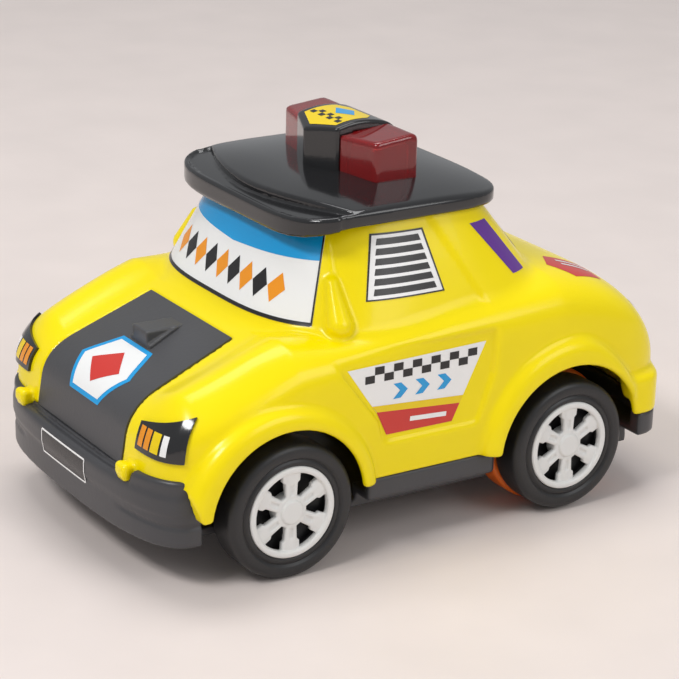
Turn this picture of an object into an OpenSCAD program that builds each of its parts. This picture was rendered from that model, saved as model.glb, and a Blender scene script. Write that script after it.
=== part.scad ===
// Friction-drive toy taxi: a hollow moulded body on a chassis, four wheels and a geared flywheel.
// Lengths are millimetres. The front faces -Y, the car's left side is +X, and the floor is Z = 0.

/* [Wheels] */
// Distance between the two axles
wheel_base = 96; // [93:0.5:99]
// Place of the front axle along the car
front_axle_y = -47.9; // [-48.9:0.25:-46.9]
// Radius of a tyre
tyre_r = 20; // [19:0.1:20.6]
// Width of a tyre
tyre_w = 11.5; // [10:0.5:12.5]
// Outer face of a wheel, from the middle of the car
wheel_face_x = 56; // [55:0.25:57]
// Radius of the rounded tyre shoulders
shoulder_r = 2.4; // [1.5:0.1:3]
// Radius of the white hub set in the tyre
hub_r = 13.6; // [12:0.1:14.5]
// Depth of the hub in the tyre
hub_depth = 5; // [4:0.25:6]
// Thickness of the web behind the hub
web_t = 3; // [2:0.25:4]
// Width of the hub's rim ring
rim_w = 2.3; // [1.5:0.1:3]
// Width of a spoke at the rim
spoke_w = 4.6; // [3:0.1:6]
// Radius of the round cap in the hub
cap_r = 3.6; // [3:0.1:5]
// Height of the cap and of the spokes' groove
cap_h = 1.2; // [0.6:0.1:2]
// Number of spokes
spokes = 6; // [5:1:7]
// Radius of an orange drive ring
drive_r = 20.8; // [20:0.1:21.2]
// Width of a drive ring
drive_w = 8.5; // [6:0.5:9.5]
// Radius of both axles
axle_r = 2; // [1.5:0.1:2.5]

/* [Body] */
// Half of the body's width at the doors
body_hw = 54.6; // [53.6:0.2:56]
// Front end of the body
body_front_y = -85.9; // [-87.4:0.25:-85.4]
// Rear end of the body
body_rear_y = 88.6; // [87.6:0.25:89.1]
// Wall of the body
wall = 2.4; // [1.8:0.1:3]
// Height of the body's lower edge
sill_top = 23; // [22:0.25:24]
// Height of the nose where it meets the bumper
nose_z = 31; // [30:0.25:32]
// Place along the car of the knee between nose and bonnet
knee_y = -83.3; // [-84.4:0.1:-82.4]
// Height of the knee
knee_z = 47.8; // [46.6:0.2:49]
// Place along the car of the bonnet's rear end
cowl_y = -44.9; // [-46.9:0.5:-42.9]
// Height of the bonnet's rear end
cowl_z = 63.4; // [62:0.2:65]
// Place along the car of the boot's front end
deck_y = 45.1; // [43.1:0.5:47.1]
// Height of the boot's front end
deck_z = 72.8; // [71.6:0.2:74]
// Place along the car of the corner that the tail rounds
tail_y = 84.6; // [83.1:0.5:86.1]
// Height of the corner that the tail rounds
tail_z = 70; // [68:0.5:72]
// Height where the tail's curve ends
tail_end_z = 34; // [32:0.5:36]
// How far the flanks tuck in at the lower edge
flank_tuck = 1.5; // [0.5:0.1:2.5]
// Rise of the front wings over the bonnet
wing_rise = 3.4; // [1:0.1:4]
// Length over which a wing rises behind the nose
wing_run = 6; // [4:0.5:9]
// Length over which a wing sinks into the shoulder
wing_tail = 36; // [30:1:42]
// Height of the ledge over the rear bumper
ledge_h = 15; // [12:0.5:17]
// Gap between tyre and wheel arch
arch_gap = 4.6; // [4:0.1:5.5]
// Width of the flare round an arch
flare_w = 6.6; // [5.6:0.1:7.2]
// How far a flare stands out from the flank
flare_out = 2.9; // [1.5:0.1:3.5]
// Rounding of a flare's outer edge
flare_round = 4.7; // [4:0.1:5.4]
// How far the flares sit towards the ends of the car from their axles
flare_lead = 2.6; // [1.6:0.1:3]
// How far the rear flare sits above its axle
flare_lift = 2.4; // [1.4:0.1:3]
// How far the front arch sits ahead of its axle
arch_lead = 1.4; // [0.6:0.1:1.8]
// Depth of the set-back door in the flank
door_depth = 1.6; // [1:0.1:1.8]

/* [Cabin] */
// Height of the flat cabin top
cabin_top = 96; // [95:0.25:97]
// Half width of the cabin at its base
cabin_base_hw = 51; // [50:0.25:52]
// Half width of the cabin at its top
cabin_top_hw = 38.2; // [37.4:0.1:38.4]
// Windscreen foot along the car
screen_foot_y = -44.9; // [-45.9:0.25:-43.9]
// Windscreen head along the car
screen_head_y = -27.9; // [-28.9:0.25:-26.9]
// Foot of the rear window along the car
back_foot_y = 55.1; // [53.1:0.5:56.1]
// Head of the rear window along the car
back_head_y = 29.6; // [28.6:0.2:30.2]
// Middle of the cabin's plan along the car
cabin_mid_y = 7.1; // [5.1:0.5:9.1]
// Size of the moulded mirror bumps
mirror_r = 3.8; // [3:0.1:4.4]

/* [Roof and light bar] */
// Half width of the roof cap
roof_hw = 41.6; // [41.4:0.1:43]
// Front of the roof cap's brim
roof_front_y = -35.3; // [-36.5:0.2:-34.5]
// Rear of the roof cap
roof_rear_y = 35; // [34.4:0.1:36]
// Height of the roof cap's skirt
skirt_h = 4.6; // [4.2:0.1:5.2]
// How far the brim dips at the front
brim_drop = 4; // [2:0.25:5]
// Where the brim starts to dip along the car
brim_y = -16; // [-20:0.5:-12]
// Wall of the roof cap
roof_wall = 2; // [1.6:0.1:2.1]
// Height of the crown over the skirt
crown_h = 2.4; // [2:0.1:3]
// Half width of the light bar
bar_hw = 25; // [22:0.5:28]
// Front of the light bar's lens
bar_front_y = -2.3; // [-3.9:0.2:-0.9]
// How far the lens stands forward on both sides of the cover
bar_lobe = 4.8; // [3.6:0.2:5.4]
// How far the lens sweeps back towards its ends
bar_sweep = 3.6; // [2:0.2:4.6]
// Depth of the lens along the car
bar_depth = 13.4; // [11:0.2:15]
// Height of the lens
bar_h = 11.4; // [10:0.2:12.4]
// Half width of the black cover over the lens
cover_hw = 11; // [9:0.25:13]
// Length of the cover before and behind the lens
cover_wall = 6; // [5:0.25:7]
// How far the cover's prow stands out
cover_prow = 3.6; // [2:0.2:5]
// Thickness of the cover over the lens
cover_top_t = 2.2; // [1.6:0.1:2.8]

/* [Set-in panels] */
// Half width of the bonnet panel at its front
panel_front_hw = 26.4; // [24:0.2:28]
// Half width of the bonnet panel at its rear
panel_rear_hw = 24; // [22:0.2:26]
// Height of the bonnet panel's front edge
panel_foot_z = 33; // [32.6:0.1:35]
// Rear edge of the bonnet panel along the car
panel_rear_y = -49.5; // [-51.9:0.2:-47.9]
// Depth of the recess for a set-in panel
recess_d = 1.2; // [0.9:0.1:1.5]
// Gap round a set-in panel
panel_gap = 0.4; // [0.2:0.05:0.6]
// Half width of the bonnet scoop
scoop_hw = 5; // [4:0.2:7]
// Height of the scoop at its front
scoop_h = 4.6; // [3:0.2:6]
// Front of the scoop along the car
scoop_y = -65.9; // [-68.9:0.5:-62.9]
// Length of the scoop
scoop_l = 12; // [9:0.5:14]
// Half width of the windscreen panel at its foot
screen_foot_hw = 40; // [38:0.25:41]
// Half width of the windscreen panel at its head
screen_head_hw = 31.2; // [29.6:0.2:32.6]
// Height of the windscreen panel's foot
screen_foot_z = 67; // [66:0.2:69]
// Height of the windscreen panel's head
screen_head_z = 92; // [90:0.2:93]
// Width of a headlight
lamp_w = 15.8; // [13:0.2:17]
// Distance from a headlight's outer end to the flank
lamp_side = 5.2; // [4.8:0.2:7.6]
// Height of a headlight's lower edge
lamp_low_z = 38.8; // [38:0.2:40]
// Height of a headlight's upper edge at its inner end
lamp_high_z = 45.8; // [44.6:0.2:46.6]
// Rise of a headlight's upper edge at its outer end
lamp_rise = 3; // [1:0.2:4]
// How far a headlight stands proud
lamp_proud = 0.9; // [0.5:0.1:1.5]

/* [Chassis] */
// Underside of the chassis floor
floor_z = 12; // [11:0.25:12.5]
// Thickness of the chassis floor
floor_t = 2.5; // [2:0.1:3]
// Half width of the floor between the sills
floor_hw = 46; // [44:0.5:48]
// Outer face of a sill, from the middle
sill_x = 53; // [52:0.2:53.6]
// Underside of a sill
sill_z = 16.5; // [15.5:0.25:17.5]
// Wall of the sills
sill_wall = 2.4; // [2:0.1:3]
// Half width of the front bumper
bumper_hw = 52; // [51:0.2:53]
// Middle of the front bumper along the car
bumper_y = -90.5; // [-91.9:0.2:-90.1]
// Length of the bumper's curve along the car
bumper_curve = 16.6; // [15:0.2:17]
// Underside of the front bumper
bumper_z = 14; // [13:0.25:14.4]
// Thickness of both bumpers
bumper_t = 5; // [4:0.25:6]
// Half width of the rear bumper
tail_bumper_hw = 50; // [48:0.5:51.5]
// Rear end of the rear bumper
tail_bumper_y = 90.5; // [89.1:0.2:91.6]
// Length of the rear bumper's curve along the car
tail_curve = 15.6; // [14:0.2:17]
// Underside of the rear bumper
tail_bumper_z = 17; // [16:0.25:18]

/* [Friction motor] */
// Module of the gear teeth
gear_module = 0.8; // [0.7:0.02:0.84]
// Teeth of the drive gear and of the large idler gear
gear_teeth = 26; // [24:1:27]
// Teeth of both pinions
pinion_teeth = 10; // [10:1:11]
// Width of a gear
gear_w = 4; // [3:0.25:4.5]
// Radius of the flywheel
flywheel_r = 12; // [10:0.2:12.4]
// Thickness of the flywheel
flywheel_t = 9; // [7:0.25:10]
// Radius of the idler and flywheel shafts
shaft_r = 1.2; // [1:0.1:1.3]
// Angle from the rear axle up to the idler
idler_angle = 55; // [50:1:62]
// Angle from the idler down to the flywheel
flywheel_angle = 10; // [4:1:16]
// Half width of the motor case
case_hw = 16; // [15.5:0.25:17]
// Wall of the motor case
case_wall = 1.8; // [1.4:0.1:2.2]
// Radius of a case screw boss
case_boss_r = 3; // [2.6:0.1:3.4]
// Length of the case's ears along the car
ear_l = 8; // [7:0.25:9]

/* [Fits and fasteners] */
// Running clearance of a shaft in its hole
run_gap = 0.06; // [0.03:0.01:0.09]
// Clearance between pieces that are fixed to each other
seat_gap = 0.05; // [0.02:0.01:0.1]
// Clearance under a set-in panel
panel_seat = 0.15; // [0.1:0.01:0.25]
// Clearance between moving neighbours
move_gap = 0.6; // [0.4:0.05:0.9]
// Clearance round the wheels in the chassis
well_gap = 2.4; // [2:0.1:3]
// Radius of a screw's shank
screw_r = 1.1; // [0.9:0.05:1.2]
// Radius of a screw's head
head_r = 2.2; // [1.8:0.1:2.4]
// Height of a screw's head
head_h = 1.4; // [1:0.1:1.6]
// Radius of the posts that the body is screwed down by
post_r = 3.6; // [3:0.1:4]
// Half width of a front axle bearing block along the axle
bearing_hw = 3.2; // [2.5:0.1:3.6]

/* [Hidden] */
$fn = 48;
// Round pieces that only meet mesh surfaces use this many sides
mesh_fn = 32;
// One overrun for all cuts
over = 1;
// Thickness of the thin slices that a hull joins
slice_t = 0.2;

rear_axle_y = front_axle_y + wheel_base;
front_axle_z = tyre_r;
rear_axle_z = drive_r;
front_arch_r = tyre_r + arch_gap;
rear_arch_r = drive_r + arch_gap;
floor_top = floor_z + floor_t;
bumper_top = nose_z + run_gap;
wheel_in_x = wheel_face_x - tyre_w;
drive_in_x = wheel_in_x - drive_w;
axle_half = wheel_face_x - hub_depth - seat_gap;
body_mid_y = (body_front_y + body_rear_y) / 2;
body_half_l = (body_rear_y - body_front_y) / 2;

// Exponents and shares that give the body its rounded sections
plan_power = 8;
nose_power = 6;
door_power = 7.5;
tail_power = 4.6;
wing_end_share = 0.7;
skirt_low_share = 0.43;
brim_top_share = 0.65;
mid_height_share = 0.42;
wing_peak_share = 0.76;
wing_span_share = 0.24;
knee_shares = [0.55, 0.24];
knee_line_shares = [0.25, 0.6];
cabin_front_power = 3.2;
cabin_rear_power = 4;
roof_power = 5;
bumper_power = 2.9;
section_steps = 10;
cabin_steps = 5;
bow_steps = 12;
panel_steps = 4;
screen_steps = 6;
lamp_steps = [6, 4];
roof_sides = 48;

function mix(a, b, t) = a + (b - a) * t;
function unit(t) = max(0, min(1, t));
function arch(a, b, c, t) = (1 - t) * (1 - t) * a + 2 * t * (1 - t) * b + t * t * c;
function signed_pow(v, p) = sign(v) * pow(abs(v), p);
function bow(u, p) = pow(max(0, 1 - pow(min(1, abs(u)), p)), 1 / p);
function reversed(v) = [for (i = [len(v) - 1:-1:0]) v[i]];

// Top line of the body from nose to tail, as points of place and height
nose_pt = [body_front_y, nose_z];
knee_pt = [knee_y, knee_z];
cowl_pt = [cowl_y, cowl_z];
deck_pt = [deck_y, deck_z];
tail_pt = [tail_y, tail_z];
tail_end_pt = [body_rear_y, tail_end_z];
knee_in = mix(nose_pt, knee_pt, knee_shares[0]);
knee_out = mix(knee_pt, cowl_pt, knee_shares[1]);
function nose_at(t) =
    let (k = knee_line_shares)
    t < k[0] ? mix(nose_pt, knee_in, t / k[0])
    : t < k[1] ? arch(knee_in, knee_pt, knee_out, (t - k[0]) / (k[1] - k[0]))
    : mix(knee_out, cowl_pt, (t - k[1]) / (1 - k[1]));
nose_line_shares = [0.02, 0.07, 0.15, 0.25, 0.32, 0.39, 0.46, 0.53, 0.6, 0.7, 0.8, 0.9, 1];
deck_line_shares = [0.2, 0.4, 0.6, 0.8];
tail_line_shares = [0, 0.15, 0.3, 0.45, 0.6, 0.72, 0.84, 0.92, 0.98];
nose_line = [for (t = nose_line_shares) nose_at(t)];
top_line = concat(
    nose_line,
    [for (t = deck_line_shares) mix(cowl_pt, deck_pt, t)],
    [for (t = tail_line_shares) arch(deck_pt, tail_pt, tail_end_pt, t)]);

// Half width, section power and wing rise at a place along the car
function half_width(y) = body_hw * bow((y - body_mid_y) / body_half_l, plan_power);
function section_power(y) =
    y < cabin_mid_y ? mix(nose_power, door_power, unit((y - knee_y) / (cabin_mid_y - knee_y)))
    : mix(door_power, tail_power, unit((y - cabin_mid_y) / (tail_y - cabin_mid_y)));
function wing_fade(y) =
    unit((y - knee_y) / wing_run) * unit((cowl_y + wing_end_share * wing_tail - y) / wing_tail);
function wing(u, y) =
    wing_rise * wing_fade(y) * max(0, 1 - pow((abs(u) - wing_peak_share) / wing_span_share, 2));

// Height of the body's upper surface at station s, x from the middle, set in by d
function mid_height(s) = mix(sill_top, s[1], mid_height_share);
function body_z(s, x, d) =
    let (w = half_width(s[0]) - d)
    mid_height(s) + (s[1] - d - mid_height(s)) * bow(x / w, section_power(s[0])) + wing(x / w, s[0]);
function inset_y(y, d) = body_mid_y + (y - body_mid_y) * (1 - d / body_half_l);

// One closed section of the body at station s, set in by d, down to height low
function body_ring(s, d, low) =
    let (w = half_width(s[0]) - d, p = 2 / section_power(s[0]), y = inset_y(s[0], d))
    concat(
        [[w - flank_tuck, y, low]],
        [for (i = [0:section_steps * 2])
            let (a = 90 * i / section_steps, x = w * signed_pow(cos(a), p))
            [x, y, mid_height(s) + (s[1] - d - mid_height(s)) * pow(max(0, sin(a)), p) + wing(x / w, s[0])]],
        [[flank_tuck - w, y, low]]);

// A closed skin over rings with equal counts of points
module skin(rings) {
    n = len(rings[0]);
    last = len(rings) - 1;
    polyhedron(
        points = [for (r = rings) each r],
        faces = concat(
            [[for (j = [n - 1:-1:0]) j]],
            [[for (j = [0:n - 1]) last * n + j]],
            [for (i = [0:last - 1], j = [0:n - 1])
                [i * n + j, i * n + (j + 1) % n, (i + 1) * n + (j + 1) % n]],
            [for (i = [0:last - 1], j = [0:n - 1])
                [i * n + j, (i + 1) * n + (j + 1) % n, (i + 1) * n + j]]));
}

// A curved slab between rows of outer points and rows of inner points
module slab(outer, inner) {
    rows = len(outer) - 1;
    cols = len(outer[0]) - 1;
    function at(i, j, deep) = (deep * (rows + 1) + i) * (cols + 1) + j;
    function two(a, b, c, d) = [[a, b, c], [a, c, d]];
    polyhedron(
        points = concat([for (r = outer) each r], [for (r = inner) each r]),
        faces = [
            for (i = [0:rows - 1], j = [0:cols - 1]) each concat(
                two(at(i, j, 0), at(i, j + 1, 0), at(i + 1, j + 1, 0), at(i + 1, j, 0)),
                two(at(i, j + 1, 1), at(i, j, 1), at(i + 1, j, 1), at(i + 1, j + 1, 1))),
            for (i = [0:rows - 1]) each concat(
                two(at(i, cols, 0), at(i, cols, 1), at(i + 1, cols, 1), at(i + 1, cols, 0)),
                two(at(i, 0, 1), at(i, 0, 0), at(i + 1, 0, 0), at(i + 1, 0, 1))),
            for (j = [0:cols - 1]) each concat(
                two(at(0, j, 1), at(0, j + 1, 1), at(0, j + 1, 0), at(0, j, 0)),
                two(at(rows, j, 0), at(rows, j + 1, 0), at(rows, j + 1, 1), at(rows, j, 1)))]);
}

module body_solid(d, low) {
    skin([for (s = top_line) body_ring(s, d, low)]);
}

// Plan of the cabin at a height, set in by d
function cabin_share(z) = (z - cowl_z) / (cabin_top - cowl_z);
function cabin_hw(z, d) = mix(cabin_base_hw, cabin_top_hw, cabin_share(z)) - d;
function screen_y(z) = mix(screen_foot_y, screen_head_y, cabin_share(z));
function back_y(z) = mix(back_foot_y, back_head_y, cabin_share(z));
function screen_at(x, z, d) =
    cabin_mid_y - (cabin_mid_y - screen_y(z) - d) * bow(x / cabin_hw(z, d), cabin_front_power);
function cabin_side(y, z) =
    cabin_hw(z, 0) * bow((cabin_mid_y - y) / (cabin_mid_y - screen_y(z)), cabin_front_power);
function cabin_ring(z, d) =
    [for (i = [0:section_steps * 4 - 1])
        let (a = -90 * i / section_steps, front = sin(a) < 0, p = 2 / (front ? cabin_front_power : cabin_rear_power))
        [cabin_hw(z, d) * signed_pow(cos(a), p),
            cabin_mid_y + ((front ? cabin_mid_y - screen_y(z) : back_y(z) - cabin_mid_y) - d) * signed_pow(sin(a), p),
            z]];

module cabin_solid(d, low, high) {
    skin([for (i = [0:cabin_steps]) cabin_ring(mix(low, high, i / cabin_steps), d)]);
}

// Turns a shape made along Z so that its axis lies along X, at a place beside the car
module along_x(x, y, z) {
    translate([x, y, z]) rotate([0, 90, 0]) children();
}

// Draws its children on the left side and again, mirrored, on the right
module both_sides() {
    children();
    mirror([1, 0, 0]) children();
}

// A rectangle with rounded corners, from a corner point
module soft_square(corner, size, r) {
    translate(corner) {
        translate([r, 0]) square([size[0] - 2 * r, size[1]]);
        translate([0, r]) square([size[0], size[1] - 2 * r]);
        for (x = [r, size[0] - r], y = [r, size[1] - r]) translate([x, y]) circle(r);
    }
}

// A screw that points up, its head at the lower end
module screw(at, length) {
    translate(at) {
        cylinder(r = screw_r, h = length);
        cylinder(r = head_r, h = head_h);
    }
}
// The hole for a screw with its head sunk in the floor
module floor_hole(at) {
    translate([at[0], at[1], floor_z - over]) {
        cylinder(r = screw_r + seat_gap, h = floor_t + 2 * over);
        cylinder(r = head_r + seat_gap, h = head_h + over);
    }
}

// Outline of a bumper: a rounded bow of half width hw, from y back to y + curve
function bumper_points(hw, y, curve) =
    [for (i = [-bow_steps:bow_steps])
        let (a = 90 * i / bow_steps)
        [hw * signed_pow(sin(a), 2 / bumper_power), y + curve - curve * pow(cos(a), 2 / bumper_power)]];
module bumper_plan(hw, y, curve, inset) {
    dir = sign(curve);
    polygon(bumper_points(hw - inset, y + inset * dir, curve - inset * dir));
}

// Flare of an arch: a disc of radius r with a rounded rim
flare_steps = [0, 30, 60, 90];
module flare(y, z, r) {
    hull() for (a = flare_steps)
        along_x(body_hw - 3 * wall, y, z)
            cylinder(r = r - flare_round * (1 - sin(a)), $fn = mesh_fn,
                h = 3 * wall + flare_out - flare_round * (1 - cos(a)));
}

// The set-back door, as an outline on the flank
door_outline = [[-32.9, 61.2], [-30.7, 55.7], [-23.9, 47], [-19, 40.9], [-17.1, 34.4],
    [15.2, 34.4], [19.9, 48.6], [20.6, 59.1], [20.4, 61.2]];
module door_cut() {
    translate([body_hw - door_depth, 0, 0]) rotate([90, 0, 90]) linear_extrude(height = body_hw) polygon(door_outline);
}

post_places = [[16, -66], [25, 68]];
cone_z = [67.5, 78];
mirror_y = -26.4;
lamp_out_x = body_hw - lamp_side;
lamp_in_x = lamp_out_x - lamp_w;

module mirror_bump() {
    hull() {
        translate([cabin_side(mirror_y, cone_z[0]), mirror_y, cone_z[0]]) sphere(mirror_r, $fn = 12);
        translate([cabin_side(mirror_y, cone_z[1]), mirror_y, cone_z[1]]) sphere(mirror_r / 2, $fn = 12);
    }
}

// Slabs that fill a recess: the panel itself, or the cut for it when grown by a gap
function panel_hw(y) = mix(panel_front_hw, panel_rear_hw, unit((y - knee_y) / (panel_rear_y - knee_y)));
function panel_row(s, hw, d) =
    [for (i = [panel_steps:-1:-panel_steps])
        let (x = hw * i / panel_steps) [x, inset_y(s[0], d), body_z(s, x, d)]];
module bonnet_slab(grow, out, depth) {
    intersection() {
        slab([for (s = nose_line) panel_row(s, panel_hw(s[0]) + grow, -out)],
            [for (s = nose_line) panel_row(s, panel_hw(s[0]) + grow, depth)]);
        translate([-body_hw, body_front_y - body_hw, panel_foot_z - grow])
            cube([2 * body_hw, panel_rear_y + grow - body_front_y + body_hw, cabin_top]);
    }
}

function screen_hw(z) = mix(screen_foot_hw, screen_head_hw, (z - screen_foot_z) / (screen_head_z - screen_foot_z));
function screen_row(z, grow, d) =
    [for (i = [screen_steps:-1:-screen_steps])
        let (x = (screen_hw(z) + grow) * i / screen_steps) [x, screen_at(x, z, d), z]];
module screen_slab(grow, out, depth) {
    rows = [for (t = [0:screen_steps]) mix(screen_foot_z - grow, screen_head_z + grow, t / screen_steps)];
    slab([for (z = rows) screen_row(z, grow, -out)], [for (z = rows) screen_row(z, grow, depth)]);
}

// Place on the nose line where the body's surface at x reaches height z, found by halving
function lamp_share(x, z, d, low = 0, high = 1, left = 12) =
    let (m = (low + high) / 2)
    left == 0 ? m
    : body_z(nose_at(m), x, d) < z ? lamp_share(x, z, d, m, high, left - 1)
    : lamp_share(x, z, d, low, m, left - 1);
function lamp_point(x, z, d) = [x, inset_y(nose_at(lamp_share(x, z, d))[0], d), z];
// A headlight's upper edge climbs towards its outer end
function lamp_top(x) = lamp_high_z + lamp_rise * unit((x - lamp_in_x) / (lamp_out_x - lamp_in_x));
module lamp_slab(grow, out, depth) {
    xs = [for (i = [0:lamp_steps[0]]) mix(lamp_out_x + grow, lamp_in_x - grow, i / lamp_steps[0])];
    slab([for (j = [0:lamp_steps[1]]) lamp_row(xs, j / lamp_steps[1], grow, -out)],
        [for (j = [0:lamp_steps[1]]) lamp_row(xs, j / lamp_steps[1], grow, depth)]);
}
function lamp_row(xs, t, grow, d) =
    [for (x = xs) lamp_point(x, mix(lamp_low_z - grow, lamp_top(x) + grow, t), d)];

module posts() {
    intersection() {
        both_sides() for (p = post_places)
            translate([p[0], p[1], floor_top]) cylinder(r = post_r, h = cabin_top, $fn = mesh_fn);
        body_solid(wall / 2, floor_top);
    }
}

// The ledge over the rear bumper, with a rounded upper edge
module ledge() {
    skin([for (v = ledge_rings)
        [for (p = bumper_points(tail_bumper_hw - v[0], tail_bumper_y - v[0], v[0] - tail_curve))
            [p[0], p[1], sill_top + v[1]]]]);
}
ledge_round = 3.4;
ledge_rings = concat([[0, 0]], [for (a = flare_steps)
    [ledge_round * (1 - cos(a)), ledge_h - ledge_round * (1 - sin(a))]]);

module outer_skin() {
    difference() {
        body_solid(0, sill_top);
        both_sides() door_cut();
    }
    cabin_solid(0, cowl_z - wall, cabin_top);
    ledge();
    both_sides() {
        flare(front_axle_y - flare_lead, front_axle_z, front_arch_r + flare_w);
        flare(rear_axle_y + flare_lead, rear_axle_z + flare_lift, rear_arch_r + flare_w);
        mirror_bump();
    }
}

module inner_space() {
    body_solid(wall, sill_top - over);
    cabin_solid(wall, cowl_z - 2 * wall, cabin_top - wall);
}

module below(y, l, top) {
    translate([-2 * body_hw, y, top - 2 * body_hw]) cube([4 * body_hw, l, 2 * body_hw]);
}

module body_shell() {
    color("gold") difference() {
        union() {
            difference() {
                outer_skin();
                inner_space();
                below(-2 * body_half_l, 4 * body_half_l, sill_top);
                below(bumper_y - over, bumper_curve + over, bumper_top + seat_gap);
            }
            posts();
        }
        both_sides() {
            along_x(drive_in_x - well_gap, front_axle_y - arch_lead, front_axle_z)
                cylinder(r = front_arch_r, h = body_hw);
            along_x(drive_in_x - well_gap, rear_axle_y, rear_axle_z) cylinder(r = rear_arch_r, h = body_hw);
            lamp_slab(panel_gap, over, lamp_proud + panel_seat);
            for (p = post_places)
                translate([p[0], p[1], 0])
                    cylinder(r = screw_r + seat_gap, h = floor_z + post_screw_l + over, $fn = mesh_fn);
        }
        bonnet_slab(panel_gap, over, recess_d + panel_seat);
        screen_slab(panel_gap, over, recess_d + panel_seat);
        for (y = cover_screw_ys)
            translate([0, y, cabin_top - wall - over])
                cylinder(r = screw_r + seat_gap, h = wall + 2 * over, $fn = mesh_fn);
    }
}

module bonnet_panel() {
    color("dimgray") {
        bonnet_slab(0, run_gap, recess_d);
        hull() {
            scoop_end(scoop_y, scoop_hw, scoop_h);
            scoop_end(scoop_y + scoop_l, scoop_hw / 2, slice_t);
        }
    }
}

// One end of the scoop: a slice that stands on the bonnet's slope
function bonnet_height(y) = mix(knee_z, cowl_z, (y - knee_y) / (cowl_y - knee_y));
module scoop_end(y, hw, h) {
    translate([-hw, y, bonnet_height(y) - recess_d]) cube([2 * hw, slice_t, h + recess_d]);
}

module windscreen_panel() {
    color("white") screen_slab(0, 0, recess_d);
}

module headlight() {
    color("black") lamp_slab(0, lamp_proud, lamp_proud);
}
module headlight_left() { headlight(); }
module headlight_right() { mirror([1, 0, 0]) headlight(); }

// Plan of the roof cap, set in by d
skirt_z = cabin_top - skirt_h * skirt_low_share;
skirt_top = skirt_z + skirt_h;
crown_z = skirt_top + crown_h;
crown_shares = [0.64, 0.58];
function roof_points(d, s) =
    [for (i = [0:roof_sides - 1])
        let (a = 360 * i / roof_sides, p = 2 / roof_power)
        [(roof_hw - d) * s * signed_pow(cos(a), p),
            ((sin(a) < 0 ? -roof_front_y : roof_rear_y) - d) * s * signed_pow(sin(a), p)]];
function brim_fall(y) = brim_drop * pow(unit((brim_y - y) / (brim_y - roof_front_y)), 2);
function roof_ring(z, d, s, dip_share) =
    [for (p = reversed(roof_points(d, s))) [p[0], p[1], z - dip_share * brim_fall(p[1])]];

module roof_cap() {
    color("black") difference() {
        skin([
            roof_ring(cabin_top, roof_wall, 1, 0), roof_ring(skirt_z, roof_wall, 1, 1),
            roof_ring(skirt_z, 0, 1, 1), roof_ring(skirt_top - roof_wall / 2, 0, 1, brim_top_share),
            roof_ring(skirt_top, roof_wall / 2, 1, brim_top_share), roof_ring(crown_z, 0, crown_shares[0], 0)]);
        translate([0, 0, cabin_top - over]) linear_extrude(height = crown_z - roof_wall - cabin_top + over)
            difference() {
                polygon(roof_points(0, crown_shares[1]));
                for (y = cover_screw_ys) translate([0, y]) circle(screw_r + roof_wall);
            }
        for (y = cover_screw_ys)
            translate([0, y, cabin_top - over]) cylinder(r = screw_r + seat_gap, h = crown_z - cabin_top + 2 * over);
    }
}

bar_rear_y = bar_front_y + bar_depth;
cover_top = crown_z + bar_h + cover_top_t;
cover_screw_ys = [bar_front_y - cover_wall / 2, bar_rear_y + cover_wall / 2];
cover_tail_share = 0.35;
cover_ends = [bar_front_y - cover_wall, bar_rear_y + cover_wall];
cover_plan = [[-cover_hw, cover_ends[0]], [0, cover_ends[0] - cover_prow], [cover_hw, cover_ends[0]],
    [cover_hw, cover_ends[1]], [-cover_hw, cover_ends[1]]];
cover_side = [[cover_ends[0] - cover_prow, crown_z], [cover_ends[1], crown_z],
    [cover_ends[1], mix(crown_z, cover_top, cover_tail_share)], [bar_rear_y, cover_top],
    [cover_ends[0] - cover_prow, cover_top]];
cover_hole_share = 0.55;
cover_screw_share = 0.45;

// Plan of the lens, set in by d: two lobes stand forward beside the cover
lobe_x = cover_hw + seat_gap;
function lens_half(d) = [
    [lobe_x + d, bar_front_y + d], [lobe_x + d, bar_front_y - bar_lobe + d],
    [bar_hw - d, bar_front_y - bar_lobe + bar_sweep + d], [bar_hw - d, bar_rear_y - d]];
module lens_plan(d) {
    polygon(concat(lens_half(d), [for (p = reversed(lens_half(d))) [-p[0], p[1]]]));
}
module light_bar_lens() {
    color("firebrick") difference() {
        translate([0, 0, crown_z]) linear_extrude(height = bar_h) lens_plan(0);
        translate([0, 0, crown_z - over]) linear_extrude(height = bar_h - wall + over) lens_plan(wall);
    }
}

module sign_cover() {
    color("black") difference() {
        intersection() {
            translate([0, 0, crown_z]) linear_extrude(height = cover_top - crown_z) polygon(cover_plan);
            translate([-cover_hw, 0, 0]) rotate([90, 0, 90]) linear_extrude(height = 2 * cover_hw) polygon(cover_side);
        }
        translate([-cover_hw - over, bar_front_y - seat_gap, crown_z - over])
            cube([2 * (cover_hw + over), bar_depth + 2 * seat_gap, bar_h + seat_gap + over]);
        for (y = cover_screw_ys)
            translate([0, y, crown_z - over]) cylinder(r = screw_r + seat_gap, h = bar_h * cover_hole_share + over);
    }
}

module roof_screws() {
    color("silver") for (y = cover_screw_ys)
        screw([0, y, cabin_top - wall - head_h], crown_z + bar_h * cover_screw_share - cabin_top + wall + head_h);
}

// Plan of the floor, one half, from the front tray to the rear tray
front_well_x = wheel_in_x - well_gap;
rear_well_x = drive_in_x - well_gap;
front_well = [front_axle_y - tyre_r - well_gap, front_axle_y + tyre_r + well_gap];
rear_well = [rear_axle_y - drive_r - well_gap, rear_axle_y + drive_r + well_gap];
tray_x = floor_hw - sill_wall;
floor_half = [
    [tray_x, bumper_y + bumper_curve - bumper_t], [tray_x, front_well[0]],
    [front_well_x, front_well[0]], [front_well_x, front_well[1]],
    [floor_hw, front_well[1]], [floor_hw, rear_well[0]],
    [rear_well_x, rear_well[0]], [rear_well_x, rear_well[1]],
    [tray_x, rear_well[1]], [tray_x, tail_bumper_y - tail_curve + bumper_t]];

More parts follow.
